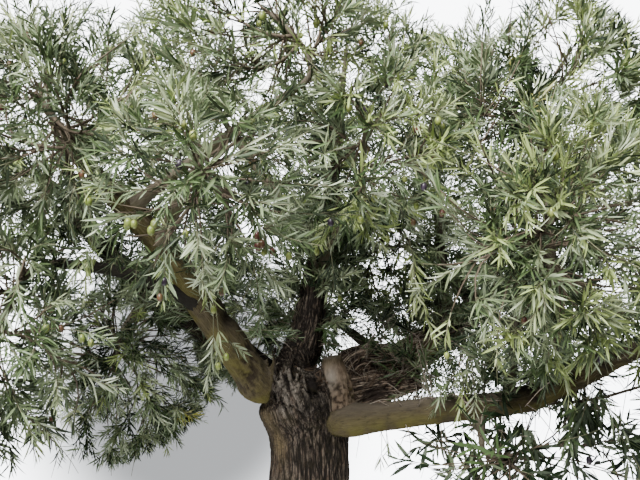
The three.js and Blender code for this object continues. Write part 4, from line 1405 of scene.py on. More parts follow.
# %% Shoots placed one by one, in metres
PLACED_SHOOTS = [
    ((-0.29, -0.42, 1.5), (-0.262, -0.33, 1.28), (-0.311, -0.31, 1.112), 0.55),
    ((-0.29, -0.42, 1.5), (-0.262, -0.32, 1.3), (-0.275, -0.3, 1.165), 0.6),
    ((-0.78, -0.45, 1.42), (-0.735, -0.45, 1.27), (-0.685, -0.45, 1.14), 0.15),
    ((-0.325, -0.7, 1.6), (-0.36, -0.71, 1.5), (-0.322, -0.7, 1.4), 0.2),
    ((-0.335, -0.69, 1.58), (-0.32, -0.7, 1.5), (-0.362, -0.69, 1.425), 0.2),
    ((0.52, -0.18, 1.18), (0.5, -0.215, 1.08), (0.462, -0.235, 0.95), 0.25),
    ((0.52, -0.18, 1.18), (0.54, -0.22, 1.08), (0.52, -0.235, 0.985), 0.3),
    ((0.5, -0.17, 1.15), (0.43, -0.21, 1.08), (0.395, -0.22, 1.0), 0.3),
    ((0.74, -0.33, 1.24), (0.715, -0.35, 1.15), (0.69, -0.35, 1.04), 0.1),
    ((0.74, -0.33, 1.24), (0.76, -0.36, 1.17), (0.775, -0.36, 1.07), 0.1),
    ((0.242, -0.105, 0.94), (0.246, -0.12, 0.87), (0.237, -0.12, 0.79), 0.62),
    ((0.252, -0.105, 0.94), (0.262, -0.11, 0.89), (0.268, -0.125, 0.84), 0.55),
    ((-0.61, -0.56, 1.7), (-0.64, -0.59, 1.62), (-0.59, -0.6, 1.54), 0.1),
    ((-0.595, -0.56, 1.7), (-0.56, -0.6, 1.63), (-0.545, -0.6, 1.56), 0.1),
    ((-0.15, -0.48, 1.48), (-0.12, -0.48, 1.38), (-0.14, -0.47, 1.29), 0.2),
    ((0.06, -0.3, 1.56), (0.08, -0.3, 1.47), (0.075, -0.29, 1.39), 0.25),
    ((0.3, -0.35, 1.56), (0.33, -0.36, 1.44), (0.31, -0.35, 1.33), 0.15),
    ((0.5, 0.285, 1.8), (0.56, 0.2, 1.8), (0.64, 0.1, 1.77), 0.1),
    ((0.505, 0.285, 1.74), (0.57, 0.18, 1.76), (0.62, 0.05, 1.72), 0.1),
    ((0.5, 0.285, 1.84), (0.55, 0.15, 1.86), (0.6, -0.02, 1.8), 0.1),
    ((0.51, 0.285, 1.7), (0.6, 0.22, 1.72), (0.7, 0.15, 1.7), 0.1),
    ((0.505, 0.285, 1.78), (0.6, 0.25, 1.8), (0.7, 0.2, 1.78), 0.1),
    ((0.51, 0.285, 1.66), (0.56, 0.12, 1.68), (0.58, -0.05, 1.66), 0.1),
    ((0.33, -0.3, 1.42), (0.36, -0.3, 1.33), (0.39, -0.29, 1.23), 0.15),
    ((-0.44, -0.215, 1.445), (-0.45, -0.32, 1.53), (-0.43, -0.36, 1.365), 0.15),
    ((-0.5, -0.26, 1.46), (-0.52, -0.36, 1.56), (-0.5, -0.4, 1.375), 0.15),
    ((-0.555, -0.3, 1.465), (-0.56, -0.4, 1.57), (-0.58, -0.43, 1.385), 0.15),
    ((-0.61, -0.335, 1.475), (-0.63, -0.44, 1.58), (-0.625, -0.465, 1.395), 0.15),
    ((-0.665, -0.375, 1.48), (-0.67, -0.47, 1.59), (-0.69, -0.49, 1.4), 0.15),
    ((-0.7, -0.4, 1.49), (-0.74, -0.5, 1.59), (-0.735, -0.52, 1.4), 0.1),
    ((-0.64, -0.36, 1.48), (-0.6, -0.48, 1.6), (-0.655, -0.5, 1.41), 0.1),
]
BARE_TWIGS = [
    ((-0.29, -0.56, 1.745), (-0.12, -0.47, 1.9), (0.029, -0.4, 2.046)),
    ((0.73, -0.215, 1.03), (0.9, -0.3, 1.03), (1.13, -0.41, 1.2)),
]

# %% [markdown]
# Boughs and branches sprout by themselves as well. Short shoots stand on their upper sides, and from
# the two right boughs long ones hang down below the wood. Pruning thins the short ones too.

# %% Shoots that sprout from boughs and branches
# What stands for a mass's number where a shoot was placed one by one or sprouts from a bough
PLACED = -2
SPROUTING = -1

# Where a bough or branch bears short shoots of its own: the first and last share, and how many
BOUGH_SHOOTS = {
    "leader": (0.22, 0.8, 160), "bough_left": (0.25, 0.72, 60), "bough_rear_left": (0.4, 0.95, 64),
    "burr": (0.85, 1.0, 26), "bough_right": (0.3, 0.72, 85), "bough_rear_right": (0.38, 0.85, 105),
    "branch_inner_right": (0.1, 0.9, 26), "branch_right_front": (0.1, 0.9, 34),
    "branch_rear_right_top": (0.1, 0.9, 115), "branch_rear_low": (0.1, 1.0, 45),
    "branch_rear": (0.1, 1.0, 55), "branch_left_low": (0.6, 0.95, 16), "branch_right_top": (0.2, 0.9, 40),
}
BOUGH_SHOOT_LENGTH = (0.09, 0.24)

# Boughs that long shoots hang from: first and last share, how many, and the mass they belong to, if any
HANGING_SHOOTS = {
    "bough_right": (0.4, 0.84, 24, "right_hanging"),
    "bough_rear_right": (0.4, 0.8, 40, None),
}
HANGING_LENGTH = (0.12, 0.34)
START_DEPTH = 0.9


def leaving(limb, first, last, count, spread, towards, rng):
    """Starts and directions of shoots that leave a limb between two shares of its length."""
    index = (rng.uniform(first, last, count) * (len(limb["path"]) - 1)).astype(int)
    outward = unit(rng.normal(size=(count, 3)) * spread + towards)
    return limb["path"][index] + outward * limb["radius"][index, None] * START_DEPTH, outward


def bough_shoots(rng):
    """Short shoots that leave the boughs and branches at any side but straight down."""
    curves = []
    for name, (first, last, count) in BOUGH_SHOOTS.items():
        start, outward = leaving(limbs[name], first, last, count, (1, 0.8, 0.5), (0, -0.35, 0.55), rng)
        length = rng.uniform(*BOUGH_SHOOT_LENGTH, (count, 1))
        curves.append(bent(start, outward, outward + 0.5 * rng.normal(size=(count, 3)), length))
    curves = stacked(*curves)
    left = ~pruned(curves, rng)
    return [row[left] for row in curves]


def hanging_shoots(rng, limb, first, last, count):
    """Long shoots that leave a bough's underside and hang down, a little towards the viewer."""
    start, outward = leaving(limb, first, last, count, (0.5, 0.7, 0.2), (0, -0.2, -0.9), rng)
    fall = rng.uniform(*HANGING_LENGTH, (count, 1))
    spread = rng.normal(size=(count, 3)) * (0.35, 0.25, 0.05)
    middle = start + (outward + spread * (1, 1, 0)) * fall * 0.45
    return [start, middle, middle + (spread * 0.5 - UP) * fall * 0.65]


# Each set of added shoots: its curves, the mass that it counts to, whether it is near, and its bare share
placed = columns(shoot[:3] for shoot in PLACED_SHOOTS)
sprouting = bough_shoots(np.random.default_rng(41))
added = [(placed, PLACED, True, [shoot[3] for shoot in PLACED_SHOOTS]), (sprouting, SPROUTING, False, 0.2)]
rng = np.random.default_rng(53)
for name, (first, last, count, mass_name) in HANGING_SHOOTS.items():
    curves = hanging_shoots(rng, limbs[name], first, last, count)
    mass_index = mass_names.index(mass_name) if mass_name else SPROUTING
    added.append((curves, mass_index, mass_name is not None, 0.3))
for curves, mass_index, are_near, bare in added:
    count = len(curves[0])
    shoot_set = stacked(shoot_set, curves)
    shoot_mass = np.concatenate([shoot_mass, np.full(count, mass_index)])
    shoot_near = np.concatenate([shoot_near, np.full(count, are_near)])
    shoot_bare = np.concatenate([shoot_bare, np.broadcast_to(bare, count)])
main_set = stacked(main_set, columns(BARE_TWIGS))
print(len(placed[0]), "shoots and", len(BARE_TWIGS), "twigs placed one by one")
print(len(sprouting[0]), "shoots on the boughs")

# %% [markdown]
# Old wood in the middle of a crown keeps a tangle of fine dead twigs. Here they stand on the two
# right boughs, on the burr between them and in the fork, without leaves. The open spaces are kept
# clear of them too.

# %% Dead twigs
DEAD_TWIGS = {
    "bough_rear_right": (0.12, 0.75, 230), "burr": (0.1, 1.0, 60), "leader": (0.1, 0.35, 30),
    "bough_right": (0.2, 0.72, 240),
}
DEAD_LENGTH = (0.05, 0.24)

rng = np.random.default_rng(77)
dead_curves = []
for name, (first, last, count) in DEAD_TWIGS.items():
    for _ in range(count):
        start, outward = leaving(limbs[name], first, last, 1, (1, 0.8, 0.7), (0, -0.75, 0.55), rng)
        length = rng.uniform(*DEAD_LENGTH)
        aim = outward + 0.8 * rng.normal(size=(1, 3)) - (0, 0, 0.5)
        dead_curves.append(bent(start, outward, aim, length))
dead_set = stacked(*dead_curves)
left = ~pruned(dead_set, rng)
dead_set = [row[left] for row in dead_set]
print(len(dead_set[0]), "dead twigs")

# %% [markdown]
# Twigs of the first two orders are grey-brown wood. The shoots of the last year are thinner and
# still grey-green. Each kind is one joined mesh of narrow tubes.

# %% Sweep the twigs and shoots
foliage_nodes = [f"foliage_{name}" for name in masses]


def tapered_tubes(curves, rings, sides, first, last):
    """Tubes along curves that shrink from the first radius to the last."""
    paths = bezier(*curves, np.linspace(0, 1, rings))
    radii = np.broadcast_to(np.linspace(first, last, rings), paths.shape[:2])
    return sweep(paths, radii, sides)


def tube_piece(name, *parts):
    """One piece from one or more sets of tubes."""
    points, faces, _ = joined(parts)
    return new_piece(name, points, faces)


near_set, far_set = ([rows[chosen] for rows in shoot_set] for chosen in (shoot_near, ~shoot_near))
twigs = tube_piece(
    "twigs",
    tapered_tubes(main_set, 7, 5, 6.5 * MM, 3.4 * MM),
    tapered_tubes(side_set, 5, 3, 3.8 * MM, 1.9 * MM),
)
shoots = tube_piece(
    "shoots",
    tapered_tubes(near_set, 4, 3, 1.7 * MM, 0.8 * MM),
    tapered_tubes(far_set, 3, 3, 1.8 * MM, 0.8 * MM),
)
dead_twigs = tube_piece("dead_twigs", tapered_tubes(dead_set, 5, 3, 2.0 * MM, 0.9 * MM))


def thin_bark(name, *colours):
    """The finish of twigs, shoots and stalks."""
    return mottled_material(name, (0.75, 0.3), 60.0, 0.4, colours, 0.4)


TWIG_BARK = ((0.135, 0.105, 0.07), (0.065, 0.048, 0.032))
SHOOT_BARK = ((0.24, 0.25, 0.14), (0.13, 0.12, 0.075))
# Dead twigs are pale, and lifted further as painted light where they stand in the shade of the fork
DEAD_BARK_AND_PAINTED_LIGHT = ((0.42, 0.36, 0.29), (0.21, 0.165, 0.125))

dress(twigs, thin_bark("twig bark", *TWIG_BARK), "foliage", *foliage_nodes)
dress(shoots, thin_bark("shoot bark", *SHOOT_BARK), "foliage")
dress(dead_twigs, thin_bark("dead twig bark", *DEAD_BARK_AND_PAINTED_LIGHT), "foliage")

# %% [markdown]
# ## Leaves
#
# An olive leaf is narrow, leathery and a little folded along its midrib, dark above and silvery
# below. Leaves stand in opposite pairs, and each pair is turned a quarter from the one before. The
# leaves of the four nearest masses, and of the shoots placed before the wood, have eight triangles,
# for their outline, their fold and the bend of the tip. All others have four, which is enough for the
# outline. Leaves deep in a mass are older, and are drawn darker than those outside, partly as painted
# shade for the inside of the crown.

# %% Sizes of leaves, and masses that differ in size or darkness
LEAF_SPACING = 0.01
LEAF_LENGTH = 0.056
LEAF_SLIMNESS = 0.107
HANGING_WIDTH = 1.45
MOST_PAIRS = 28
FALLEN = 0.05
LEAF_ROOM = 0.004
FURTHEST_OUT = 1.06
# Sprays deep in a mass are older and draw darker leaves, partly as painted shade
INNER_AGE_AND_SHADE = 0.42
# Shoots on the boughs and branches sit in the crown's shade and draw darker leaves, as painted shade
BOUGH_LEAF_SHADE = 0.62

LEAF_SCALE = {
    "right_hanging": 1.42, "far_left_hanging": 0.8, "rear_hanging": 0.85, "rear": 0.9,
    "rear_right": 0.88, "inner_right": 0.88,
}

# Below 1 a mass gets more of the dark leaves, as painted shade, and above 1 more of the young ones, as
# painted light
LEAF_LIGHT_AND_SHADE = {
    "left_front": 0.78, "left_hanging": 0.78, "front": 0.8, "far_left_hanging": 0.72,
    "rear_left": 0.85, "left_top": 0.84, "top_left": 0.8, "inner_right": 1.3,
    "right_hanging": 0.38, "rear_hanging": 0.75,
}

# The last two values are for the shoots placed one by one and those that sprout from boughs
mass_scale = np.array([LEAF_SCALE.get(name, 1.0) for name in masses] + [1.0, 1.0])
mass_light_and_shade = np.array([LEAF_LIGHT_AND_SHADE.get(name, 1.0) for name in masses] + [1.0, BOUGH_LEAF_SHADE])

# %% Place the leaves along the shoots
shoot_depth = np.linalg.norm((shoot_set[2] - mass_centres[shoot_mass]) / mass_sizes[shoot_mass], axis=1)
shoot_depth = np.where(shoot_mass < 0, 0.9, np.clip(shoot_depth, 0, 1))
# The deeper a spray lies, the darker its leaves: it is older there, and the darkness is partly painted
# shade
shoot_age_and_shade = INNER_AGE_AND_SHADE + (1 - INNER_AGE_AND_SHADE) * np.clip((shoot_depth - 0.45) / 0.4, 0, 1)

rng = np.random.default_rng(2026)
shoot_length = np.linalg.norm(shoot_set[2] - shoot_set[0], axis=1)
spacing = LEAF_SPACING * mass_scale[shoot_mass] ** 1.5
pairs = np.clip(np.round(shoot_length * (1 - shoot_bare) / spacing), 3, MOST_PAIRS)
order = np.arange(MOST_PAIRS)[None]
present = order < pairs[:, None]
share = shoot_bare[:, None] + (1 - shoot_bare[:, None]) * (order + 0.6) / pairs[:, None]
share = np.minimum(share, 1.0)
nodes = bezier(*shoot_set, share)
heading = bezier_heading(*shoot_set, share)
reference = unit(rng.normal(size=(len(shoot_length), 1, 3)))
sideways = unit(np.cross(heading, reference))
other_way = np.cross(heading, sideways)
turn = rng.uniform(0, 2 * math.pi, (len(shoot_length), 1)) + order * math.pi / 2
turn = turn + rng.normal(scale=0.3, size=turn.shape)


def leaf_rows(sign):
    """One leaf of each pair: its root, direction, upper face, length and whether it is there."""
    angle = turn + (math.pi if sign < 0 else 0) + rng.normal(scale=0.2, size=turn.shape)
    out = sideways * np.cos(angle)[..., None] + other_way * np.sin(angle)[..., None]
    opening = 0.87 - 0.5 * share + rng.normal(scale=0.18, size=share.shape)
    direction = heading * np.cos(opening)[..., None] + out * np.sin(opening)[..., None]
    direction = unit(direction + 0.1 * rng.normal(size=direction.shape) - 0.05 * UP)
    face = heading + 0.5 * UP + 0.6 * rng.normal(size=direction.shape)
    face = unit(face - direction * (face * direction).sum(-1, keepdims=True))
    profile = np.minimum(0.72 + 0.9 * share, 1) * (1 - 0.45 * np.maximum(share - 0.7, 0) / 0.3)
    vigour = rng.uniform(0.78, 1.22, (len(shoot_length), 1))
    scale = mass_scale[shoot_mass][:, None]
    length = LEAF_LENGTH * scale * profile * vigour * rng.uniform(0.8, 1.18, share.shape)
    kept = present & (rng.random(share.shape) > FALLEN)
    return [rows[kept] for rows in (nodes, direction, face, length)] + [np.nonzero(kept)[0]]


leaf_sides = [leaf_rows(sign) for sign in (1, -1)]
root, direction, face, length, leaf_shoot = (np.concatenate(rows) for rows in zip(*leaf_sides))
tip = root + direction * length[:, None]
halfway = root + direction * length[:, None] * 0.5
fits = clear_of_wood(tip, LEAF_ROOM) & clear_of_wood(halfway, LEAF_ROOM) & in_box(tip)
mass_of_leaf = shoot_mass[leaf_shoot]
depth = np.linalg.norm((tip - mass_centres[mass_of_leaf]) / mass_sizes[mass_of_leaf], axis=1)
fits &= (depth < FURTHEST_OUT) | (mass_of_leaf < 0)
wide = mass_of_leaf == mass_names.index("right_hanging")
slimness = LEAF_SLIMNESS * np.where(wide, HANGING_WIDTH, 1.0)
leaf_set = [rows[fits] for rows in (root, direction, face, length, slimness)]
leaf_shoot = leaf_shoot[fits]
leaf_near = shoot_near[leaf_shoot]
print(len(leaf_shoot), "leaves,", leaf_near.sum(), "of them near,", (~fits).sum(), "left out")

# %% Shape the leaves
LEAF_FOLD = 0.34
NEAR_LEAF = {
    "along": np.array([0, 0.32, 0.32, 0.32, 0.72, 0.72, 0.72, 1.0]),
    "across": np.array([0, -1, 0, 1, -0.8, 0, 0.8, 0]),
    "triangles": [(0, 2, 1), (0, 3, 2), (1, 2, 5), (1, 5, 4), (2, 3, 6), (2, 6, 5), (4, 5, 7), (5, 6, 7)],
}
FAR_LEAF = {
    "along": np.array([0, 0.34, 0.34, 0.72, 0.72, 1.0]),
    "across": np.array([0, -1, 1, -0.8, 0.8, 0]),
    "triangles": [(0, 2, 1), (1, 2, 4), (1, 4, 3), (3, 4, 5)],
}


def leaf_arrays(form, root, direction, face, length, slimness, curl=0.2):
    """Points, triangles and distances from the midrib of leaves of one form."""
    side = np.cross(direction, face)
    bend = curl * rng.random(len(root))
    half = (length * slimness / 2)[:, None] * form["across"][None]
    along = length[:, None] * form["along"][None]
    above = np.abs(half) * LEAF_FOLD - length[:, None] * bend[:, None] * form["along"][None] ** 2
    points = (
        root[:, None] + direction[:, None] * along[..., None] + side[:, None] * half[..., None]
        + face[:, None] * above[..., None]
    )
    corners = len(form["along"])
    triangles = np.array(form["triangles"])[None] + (np.arange(len(root)) * corners)[:, None, None]
    across = np.tile(np.abs(form["across"]), len(root))
    return points.reshape(-1, 3), [triangles.reshape(-1, 3)], across


def leaf_piece(name, *sets):
    """One piece from one or more sets of leaves."""
    points, faces, across = joined(sets)
    piece = new_piece(name, points, faces)
    add_values(piece, across=across)
    return piece

# %% [markdown]
# The leaves of one spray share a colour, because they are of one age: young sprays are yellow-green,
# last year's are grey-green or silvery, the oldest are dark, and here and there one turns yellow. The
# dark kind is darker than an old leaf, as painted shade, and shaded masses draw more of it. So each
# colour is a joined mesh of its own with a plain colour above and a paler one below. The young and
# silvery leaves gleam more than the dark ones. A pale midrib is mixed in from the stored distance
# across the leaf.

# %% Leaf colours: each one's share of the sprays, its gloss, and its colour above and below
LEAF_KINDS = {
    # The dark kind is painted shade in part: darker than an old leaf, above and below
    "leaves_dark": (0.156, 0.15, (0.013, 0.024, 0.01), (0.07, 0.092, 0.055)),
    "leaves_green": (0.17, 0.3, (0.06, 0.098, 0.035), (0.205, 0.262, 0.148)),
    "leaves_grey": (0.186, 0.45, (0.132, 0.18, 0.083), (0.295, 0.35, 0.215)),
    "leaves_silver": (0.15, 0.5, (0.222, 0.266, 0.142), (0.4, 0.452, 0.305)),
    "leaves_young": (0.296, 0.5, (0.28, 0.35, 0.112), (0.43, 0.492, 0.245)),
    "leaves_yellow": (0.0, 0.4, (0.25, 0.245, 0.05), (0.29, 0.285, 0.12)),
}
YELLOW_SHARE = 0.0018
RIB_COLOUR = (0.32, 0.36, 0.17)
RIB_SHARE = 0.55


def leaf_material(name, gloss, upper, under):
    """A leathery leaf: dark above, silvery below, with a pale midrib."""
    material, tree, shader = new_material(name, 0.42, gloss)
    midrib = minus(tree, 1.0, stretch(tree, stored(tree, "across"), 0.03, 0.2))
    rib = tuple((1 - RIB_SHARE) * a + RIB_SHARE * b for a, b in zip(upper, RIB_COLOUR))
    above = mix(tree, times(tree, midrib, 0.7), upper, rib)
    seen_below = add(tree, "ShaderNodeNewGeometry").outputs["Backfacing"]
    wire(tree, shader, mix(tree, seen_below, above, under))
    return material


# A spray's kind is drawn darker or lighter by its mass and its depth, as painted shade and painted light
shoot_kind_draw = np.minimum(rng.random(len(shoot_mass)) * mass_light_and_shade[shoot_mass] * shoot_age_and_shade, 0.99)
limits = np.cumsum([share for share, *_ in LEAF_KINDS.values()])
shoot_kind = np.searchsorted(limits, shoot_kind_draw * limits[-1])
shoot_kind[rng.random(len(shoot_kind)) < YELLOW_SHARE] = list(LEAF_KINDS).index("leaves_yellow")
leaf_kind = shoot_kind[leaf_shoot]
for number, (name, (_, gloss, upper, under)) in enumerate(LEAF_KINDS.items()):
    sets = []
    for form, nearness in ((NEAR_LEAF, leaf_near), (FAR_LEAF, ~leaf_near)):
        chosen = (leaf_kind == number) & nearness
        sets.append(leaf_arrays(form, *(rows[chosen] for rows in leaf_set)))
    material = leaf_material(name.replace("_", " "), gloss, upper, under)
    dress(leaf_piece(name, *sets), material, "foliage", *foliage_nodes)

# %% [markdown]
# ## Olives
#
# The tree is in fruit. Most olives are still green, some blush to rose and a few are ripe and nearly
# black with a pale bloom. Each hangs on a short stalk from the nearest shoot. A few are placed where
# they catch the eye, and the rest hang from shoots picked at random in the masses that bear.

# %% Olives placed one by one, in metres
GREEN_OLIVES = [
    (-0.414, -0.75, 1.59), (-0.4, -0.75, 1.587), (-0.365, -0.75, 1.599), (-0.353, -0.75, 1.587),
    (-0.36, -0.75, 1.572), (-0.1, -0.7, 1.521), (-0.04, -0.7, 1.511), (-0.247, -0.33, 1.197),
    (-0.272, -0.33, 1.169), (0.096, -0.26, 1.367),
]
ROSE_OLIVES = [
    (-0.425, -0.7, 1.448), (-0.115, -0.7, 1.535), (-0.081, -0.7, 1.523), (-0.117, -0.7, 1.56),
    (-0.171, -0.6, 1.39), (-0.388, -0.7, 1.719), (0.326, -0.3, 1.89), (0.397, -0.3, 1.866),
]
RIPE_OLIVES = [
    (-0.41, -0.7, 1.468), (-0.188, -0.7, 1.664), (-0.165, -0.55, 1.917), (0.157, -0.55, 1.901),
    (0.838, -0.35, 0.893),
]

# Each kind: those placed, how many more hang at random, and the two colours of its skin
OLIVE_KINDS = {
    "olives_green": (GREEN_OLIVES, 120, ((0.2, 0.27, 0.055), (0.28, 0.3, 0.09))),
    "olives_rose": (ROSE_OLIVES, 55, ((0.13, 0.03, 0.035), (0.16, 0.12, 0.045))),
    "olives_ripe": (RIPE_OLIVES, 40, ((0.016, 0.009, 0.016), (0.055, 0.04, 0.06))),
}
FRUITING = ("front", "left_hanging", "left_front", "right_front", "centre_front", "right_end", "top_front")
OLIVE_RADIUS = 0.0085
OLIVE_HALF_LENGTH = 0.0112
OLIVE_SIDES = 9
OLIVE_RINGS = 7
STALK_RADIUS = 0.0008
STALK_LONGEST = 0.06

# %% Shape the olives and hang them up
bearing = np.flatnonzero(np.isin(shoot_mass, [mass_names.index(name) for name in FRUITING]))
hooks = bezier(*shoot_set, np.linspace(0.15, 0.9, 6))
all_hooks = hooks.reshape(-1, 3)
ring_angles = np.linspace(0, math.pi, OLIVE_RINGS)


def hook_for(top):
    """The point on a shoot that is nearest to a place."""
    return all_hooks[np.argmin(np.linalg.norm(all_hooks - top, axis=1))]


olive_stalks = []
for name, (at, scattered, colours) in OLIVE_KINDS.items():
    picked = rng.choice(bearing, scattered)
    under = hooks[picked, rng.integers(0, 6, len(picked))]
    drop = rng.uniform(0.018, 0.03, (len(under), 1))
    centres = np.vstack([at, under - UP * drop + rng.normal(scale=0.006, size=under.shape)])
    tops = centres + UP * OLIVE_HALF_LENGTH * 0.9
    nearest = np.array([hook_for(top + (0, 0, 0.008)) for top in tops])
    reached = np.linalg.norm(nearest - tops, axis=1)[:, None] < STALK_LONGEST
    centres = np.where(reached, centres, nearest - UP * 0.03)
    centres = centres[clear_of_wood(centres, 0.012)]
    tops = centres + UP * OLIVE_HALF_LENGTH * 0.9
    nearest = np.array([hook_for(top) for top in tops])
    olive_stalks.append((tops, (tops + nearest) / 2 + UP * 0.006, nearest))
    growth_share = rng.uniform(0.85, 1.12, len(centres))
    lengths = OLIVE_HALF_LENGTH * growth_share
    paths = centres[:, None] + UP * -np.cos(ring_angles)[None, :, None] * lengths[:, None, None]
    radii = OLIVE_RADIUS * growth_share[:, None] * np.maximum(np.sin(ring_angles), 0.05)[None]
    olives = tube_piece(name, sweep(paths, radii, OLIVE_SIDES))
    dress(olives, mottled_material(name.replace("_", " "), (0.32, 0.5), 55.0, 0.3, colours), "foliage")
stalks = tube_piece("olive_stalks", tapered_tubes(stacked(*olive_stalks), 4, 3, STALK_RADIUS, STALK_RADIUS))
dress(stalks, thin_bark("stalk", (0.22, 0.24, 0.1), (0.16, 0.15, 0.08)), "foliage")

# %% [markdown]
# ## Litter
#
# Dead leaves lie where they fall: in the hollow between the two right boughs, in the fork, and on
# the soil. They are brown and curled, and lie flat.

# %% Dead leaves in the fork and on the soil
LITTER_IN_FORK = 190
LITTER_ON_SOIL = 150
LITTER_HOLLOWS = [((0.23, 0.03, 1.045), (0.16, 0.1, 0.05)), ((-0.02, -0.05, 1.07), (0.09, 0.08, 0.06))]
LITTER_LENGTH = (0.026, 0.046)
LITTER_SLIMNESS = 0.2
LITTER_CURL = -0.25
SOIL_TOP = 468

normals = skin_normals(bark_points, skin_quads)
lying = np.flatnonzero((normals[:, 2] > 0.35) & (near(*LITTER_HOLLOWS) > 0.25))
spots = rng.choice(lying, LITTER_IN_FORK)
reach = np.sqrt(rng.uniform(0.26**2, 0.305**2, LITTER_ON_SOIL))
turns = rng.uniform(0, 2 * math.pi, LITTER_ON_SOIL)
level = np.full(LITTER_ON_SOIL, (SOIL_TOP + 6) * MM)
on_soil = np.stack([reach * np.cos(turns), reach * np.sin(turns), level], 1)
root = np.vstack([bark_points[spots] + normals[spots] * 0.004, on_soil])
face = np.vstack([normals[spots], np.tile(UP, (LITTER_ON_SOIL, 1))])
face = unit(face + 0.25 * rng.normal(size=root.shape))
direction = rng.normal(size=root.shape)
direction = unit(direction - face * (direction * face).sum(1, keepdims=True))
length = rng.uniform(*LITTER_LENGTH, len(root))
litter_leaves = leaf_arrays(NEAR_LEAF, root, direction, face, length, LITTER_SLIMNESS, LITTER_CURL)
litter = leaf_piece("dead_leaves", litter_leaves)
DEAD_LEAF = ((0.115, 0.08, 0.052), (0.05, 0.035, 0.025))
dress(litter, mottled_material("dead leaf", (0.8, 0.2), 30.0, 0.3, DEAD_LEAF), "foliage")

# %% [markdown]
# ## Pot and soil
#
# The pot is thrown terracotta: a tapered wall with a plain band under the rim. It is turned from a
# profile with many more sides than the plain model's, with the slight waviness of a hand-thrown wall,
# and three holes are cut in its floor so that water drains. Soil fills it to three fingers under the
# rim, crumbly on top.

# %% The pot's profile, in millimetres
POT_HEIGHT = 520
POT_FOOT_RADIUS = 270
POT_RIM_RADIUS = 370
POT_WALL = 24
POT_FLOOR = 30
POT_BAND_HEIGHT = 62
POT_BAND_DEPTH = 12
POT_SIDES = 144
DRAIN_HOLES = 3
DRAIN_HOLE_RADIUS = 12
DRAIN_CIRCLE_RADIUS = 130
CORNER_RADIUS = 9
AXIS_GAP = 40
WAVINESS = 0.0035
DRILL_SIDES = 24


def pot_outside(height):
    """The radius of the tapered wall at a height."""
    return POT_FOOT_RADIUS + (POT_RIM_RADIUS - POT_BAND_DEPTH - POT_FOOT_RADIUS) * height / POT_HEIGHT


def pot_inside(height):
    """The radius of the wall's inner face at a height."""
    return pot_outside(height) - POT_WALL


def rounded(corner_points, radius, steps=4):
    """An outline with its corners rounded: each corner becomes a short quadratic curve."""
    points = [np.array(p, float) for p in corner_points]
    outline = [points[0]]
    for before, corner, after in zip(points, points[1:], points[2:]):
        cut = min(radius, np.linalg.norm(corner - before) / 2, np.linalg.norm(after - corner) / 2)
        first = corner + unit(before - corner) * cut
        last = corner + unit(after - corner) * cut
        outline.extend(bezier(first, corner, last, np.linspace(0, 1, steps)))
    return np.array([*outline, points[-1]])


def turned(profile, sides):
    """A profile of radius and height turned round the upright axis, in metres."""
    angles = around(sides)
    radii, heights = (column[:, None] * MM for column in profile.T)
    heights = np.broadcast_to(heights, (len(profile), sides))
    points = np.stack([radii * np.cos(angles), radii * np.sin(angles), heights], 2)
    return points.reshape(-1, 3), wall_quads(len(profile), sides).reshape(-1, 4)


def turned_piece(name, points, quads, sides):
    """A closed piece from a turned profile, with a flat face over its first and its last ring."""
    ring = np.arange(sides)
    return new_piece(name, points, [quads, ring[::-1][None], (ring + len(points) - sides)[None]])


band_foot = POT_HEIGHT - POT_BAND_HEIGHT
pot_profile = rounded(
    [
        (AXIS_GAP, 0), (POT_FOOT_RADIUS, 0),
        *((pot_outside(h), h) for h in np.linspace(40, band_foot - 10, 9)),
        (pot_outside(band_foot), band_foot), (pot_outside(band_foot) + POT_BAND_DEPTH, band_foot + 8),
        (POT_RIM_RADIUS, POT_HEIGHT), (pot_inside(POT_HEIGHT), POT_HEIGHT),
        (pot_inside(POT_FLOOR), POT_FLOOR), (AXIS_GAP, POT_FLOOR),
    ],
    CORNER_RADIUS,
)
pot_points, pot_quads = turned(pot_profile, POT_SIDES)
sway = np.array([noise.noise(place) for place in pot_points * 5.0])
pot_points[:, :2] *= (1 + WAVINESS * sway * (pot_points[:, 2] > 0.02))[:, None]
pot = turned_piece("terracotta_pot", pot_points, pot_quads, POT_SIDES)
print("pot:", len(pot.data.polygons), "faces")

# %% Cut the drain holes
turns = around(DRAIN_HOLES)
hole_places = DRAIN_CIRCLE_RADIUS * MM * np.stack([np.cos(turns), np.sin(turns), np.zeros(DRAIN_HOLES)], 1)
hole_paths = hole_places[:, None] + UP * np.array([-10, POT_FLOOR + 10])[None, :, None] * MM
drill = tube_piece(
    "drain_drill", sweep(hole_paths, np.full((DRAIN_HOLES, 2), DRAIN_HOLE_RADIUS * MM), DRILL_SIDES)
)
cut = pot.modifiers.new("drain holes", "BOOLEAN")
cut.operation = "DIFFERENCE"
cut.object = drill
pot.data = evaluated_mesh(pot)
pot.modifiers.clear()
bpy.data.objects.remove(drill)
print("with drain holes:", len(pot.data.polygons), "faces")

# %% Terracotta
CLAY = {"First": (0.4, 0.165, 0.085), "Second": (0.3, 0.115, 0.06)}
LIME = (0.58, 0.47, 0.38)
PORES = (0.18, 0.07, 0.04)
CLAY_FILM = (0.1, 0.1, 0.045)

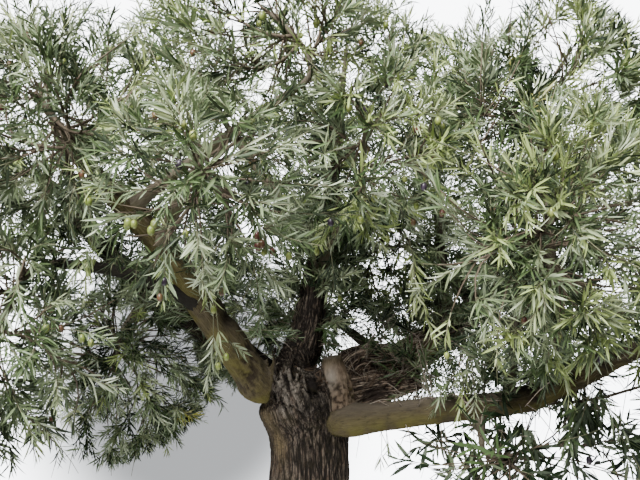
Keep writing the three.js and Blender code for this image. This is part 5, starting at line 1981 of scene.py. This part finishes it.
terracotta, tree, shader = new_material("weathered terracotta", 0.86, 0.3)
place = own_place(tree)
clay = place_group(tree, mottling, Place=place, Scale=5.0, Contrast=0.35, **CLAY)["Color"]
lime = place_group(tree, mottling, Place=place, Scale=9.0, Contrast=0.22)["Mask"]
height_above = add(tree, "ShaderNodeSeparateXYZ", Vector=place).outputs["Z"]
low_down = minus(tree, 1.0, stretch(tree, height_above, 0.02, 0.34))
under_rim = stretch(tree, height_above, 0.4, 0.5)
bloom = times(tree, maths(tree, "ADD", low_down, under_rim, clamp=True), lime)
colour = mix(tree, times(tree, bloom, 0.55), clay, LIME)
pores = cloud(tree, place, 260.0)
colour = mix(tree, times(tree, stretch(tree, pores, 0.55, 0.75), 0.35), colour, PORES)
filmed = place_group(tree, growth, Base=colour, Film=CLAY_FILM, Facing=-1.0, Amount=0.35, Scale=6.0)
turning = add(tree, "ShaderNodeTexWave", {"bands_direction": "Z"}, Vector=place, Scale=22.0, Distortion=2.5)
relief = plus(tree, times(tree, turning.outputs[1], 0.25), pores)
wire(tree, shader, filmed["Color"], relief, 0.5, 0.0018)
dress(pot, terracotta, "terracotta", "pot")

# %% Soil, from the pot's floor up to a level that drops a little at the wall
SOIL_RINGS = 46
SOIL_SIDES = 120
SOIL_EDGE = 14
SOIL_EDGE_WIDTH = 40
SOIL_GAP = 1.2
SOIL_COLOURS = ((0.075, 0.05, 0.034), (0.022, 0.015, 0.011))

soil_rim = pot_inside(SOIL_TOP - SOIL_EDGE) - SOIL_GAP
radii = np.linspace(2, soil_rim, SOIL_RINGS)
drop = SOIL_EDGE * np.clip((radii - (soil_rim - SOIL_EDGE_WIDTH)) / SOIL_EDGE_WIDTH, 0, 1)
soil_foot = [(2, POT_FLOOR + 1), (pot_inside(POT_FLOOR) - SOIL_GAP, POT_FLOOR + 1)]
soil_profile = np.vstack([soil_foot, np.stack([radii, SOIL_TOP - drop], 1)[::-1]])
soil_points, soil_quads = turned(soil_profile, SOIL_SIDES)
on_top = soil_points[:, 2] > (SOIL_TOP - SOIL_EDGE - 1) * MM
crumbs = np.array([noise.fractal(place, 0.8, 2.2, 4) for place in soil_points * 38.0])
mounds = np.array([noise.noise(place) for place in soil_points * 6.0])
soil_points[:, 2] += on_top * (0.0032 * crumbs + 0.005 * mounds)
soil = turned_piece("potting_soil", soil_points, soil_quads, SOIL_SIDES)
crumbly = mottled_material("crumbly soil", (0.95, 0.2), 70.0, 0.35, SOIL_COLOURS, 1.0, 0.003)
dress(soil, crumbly, "soil", "soil")
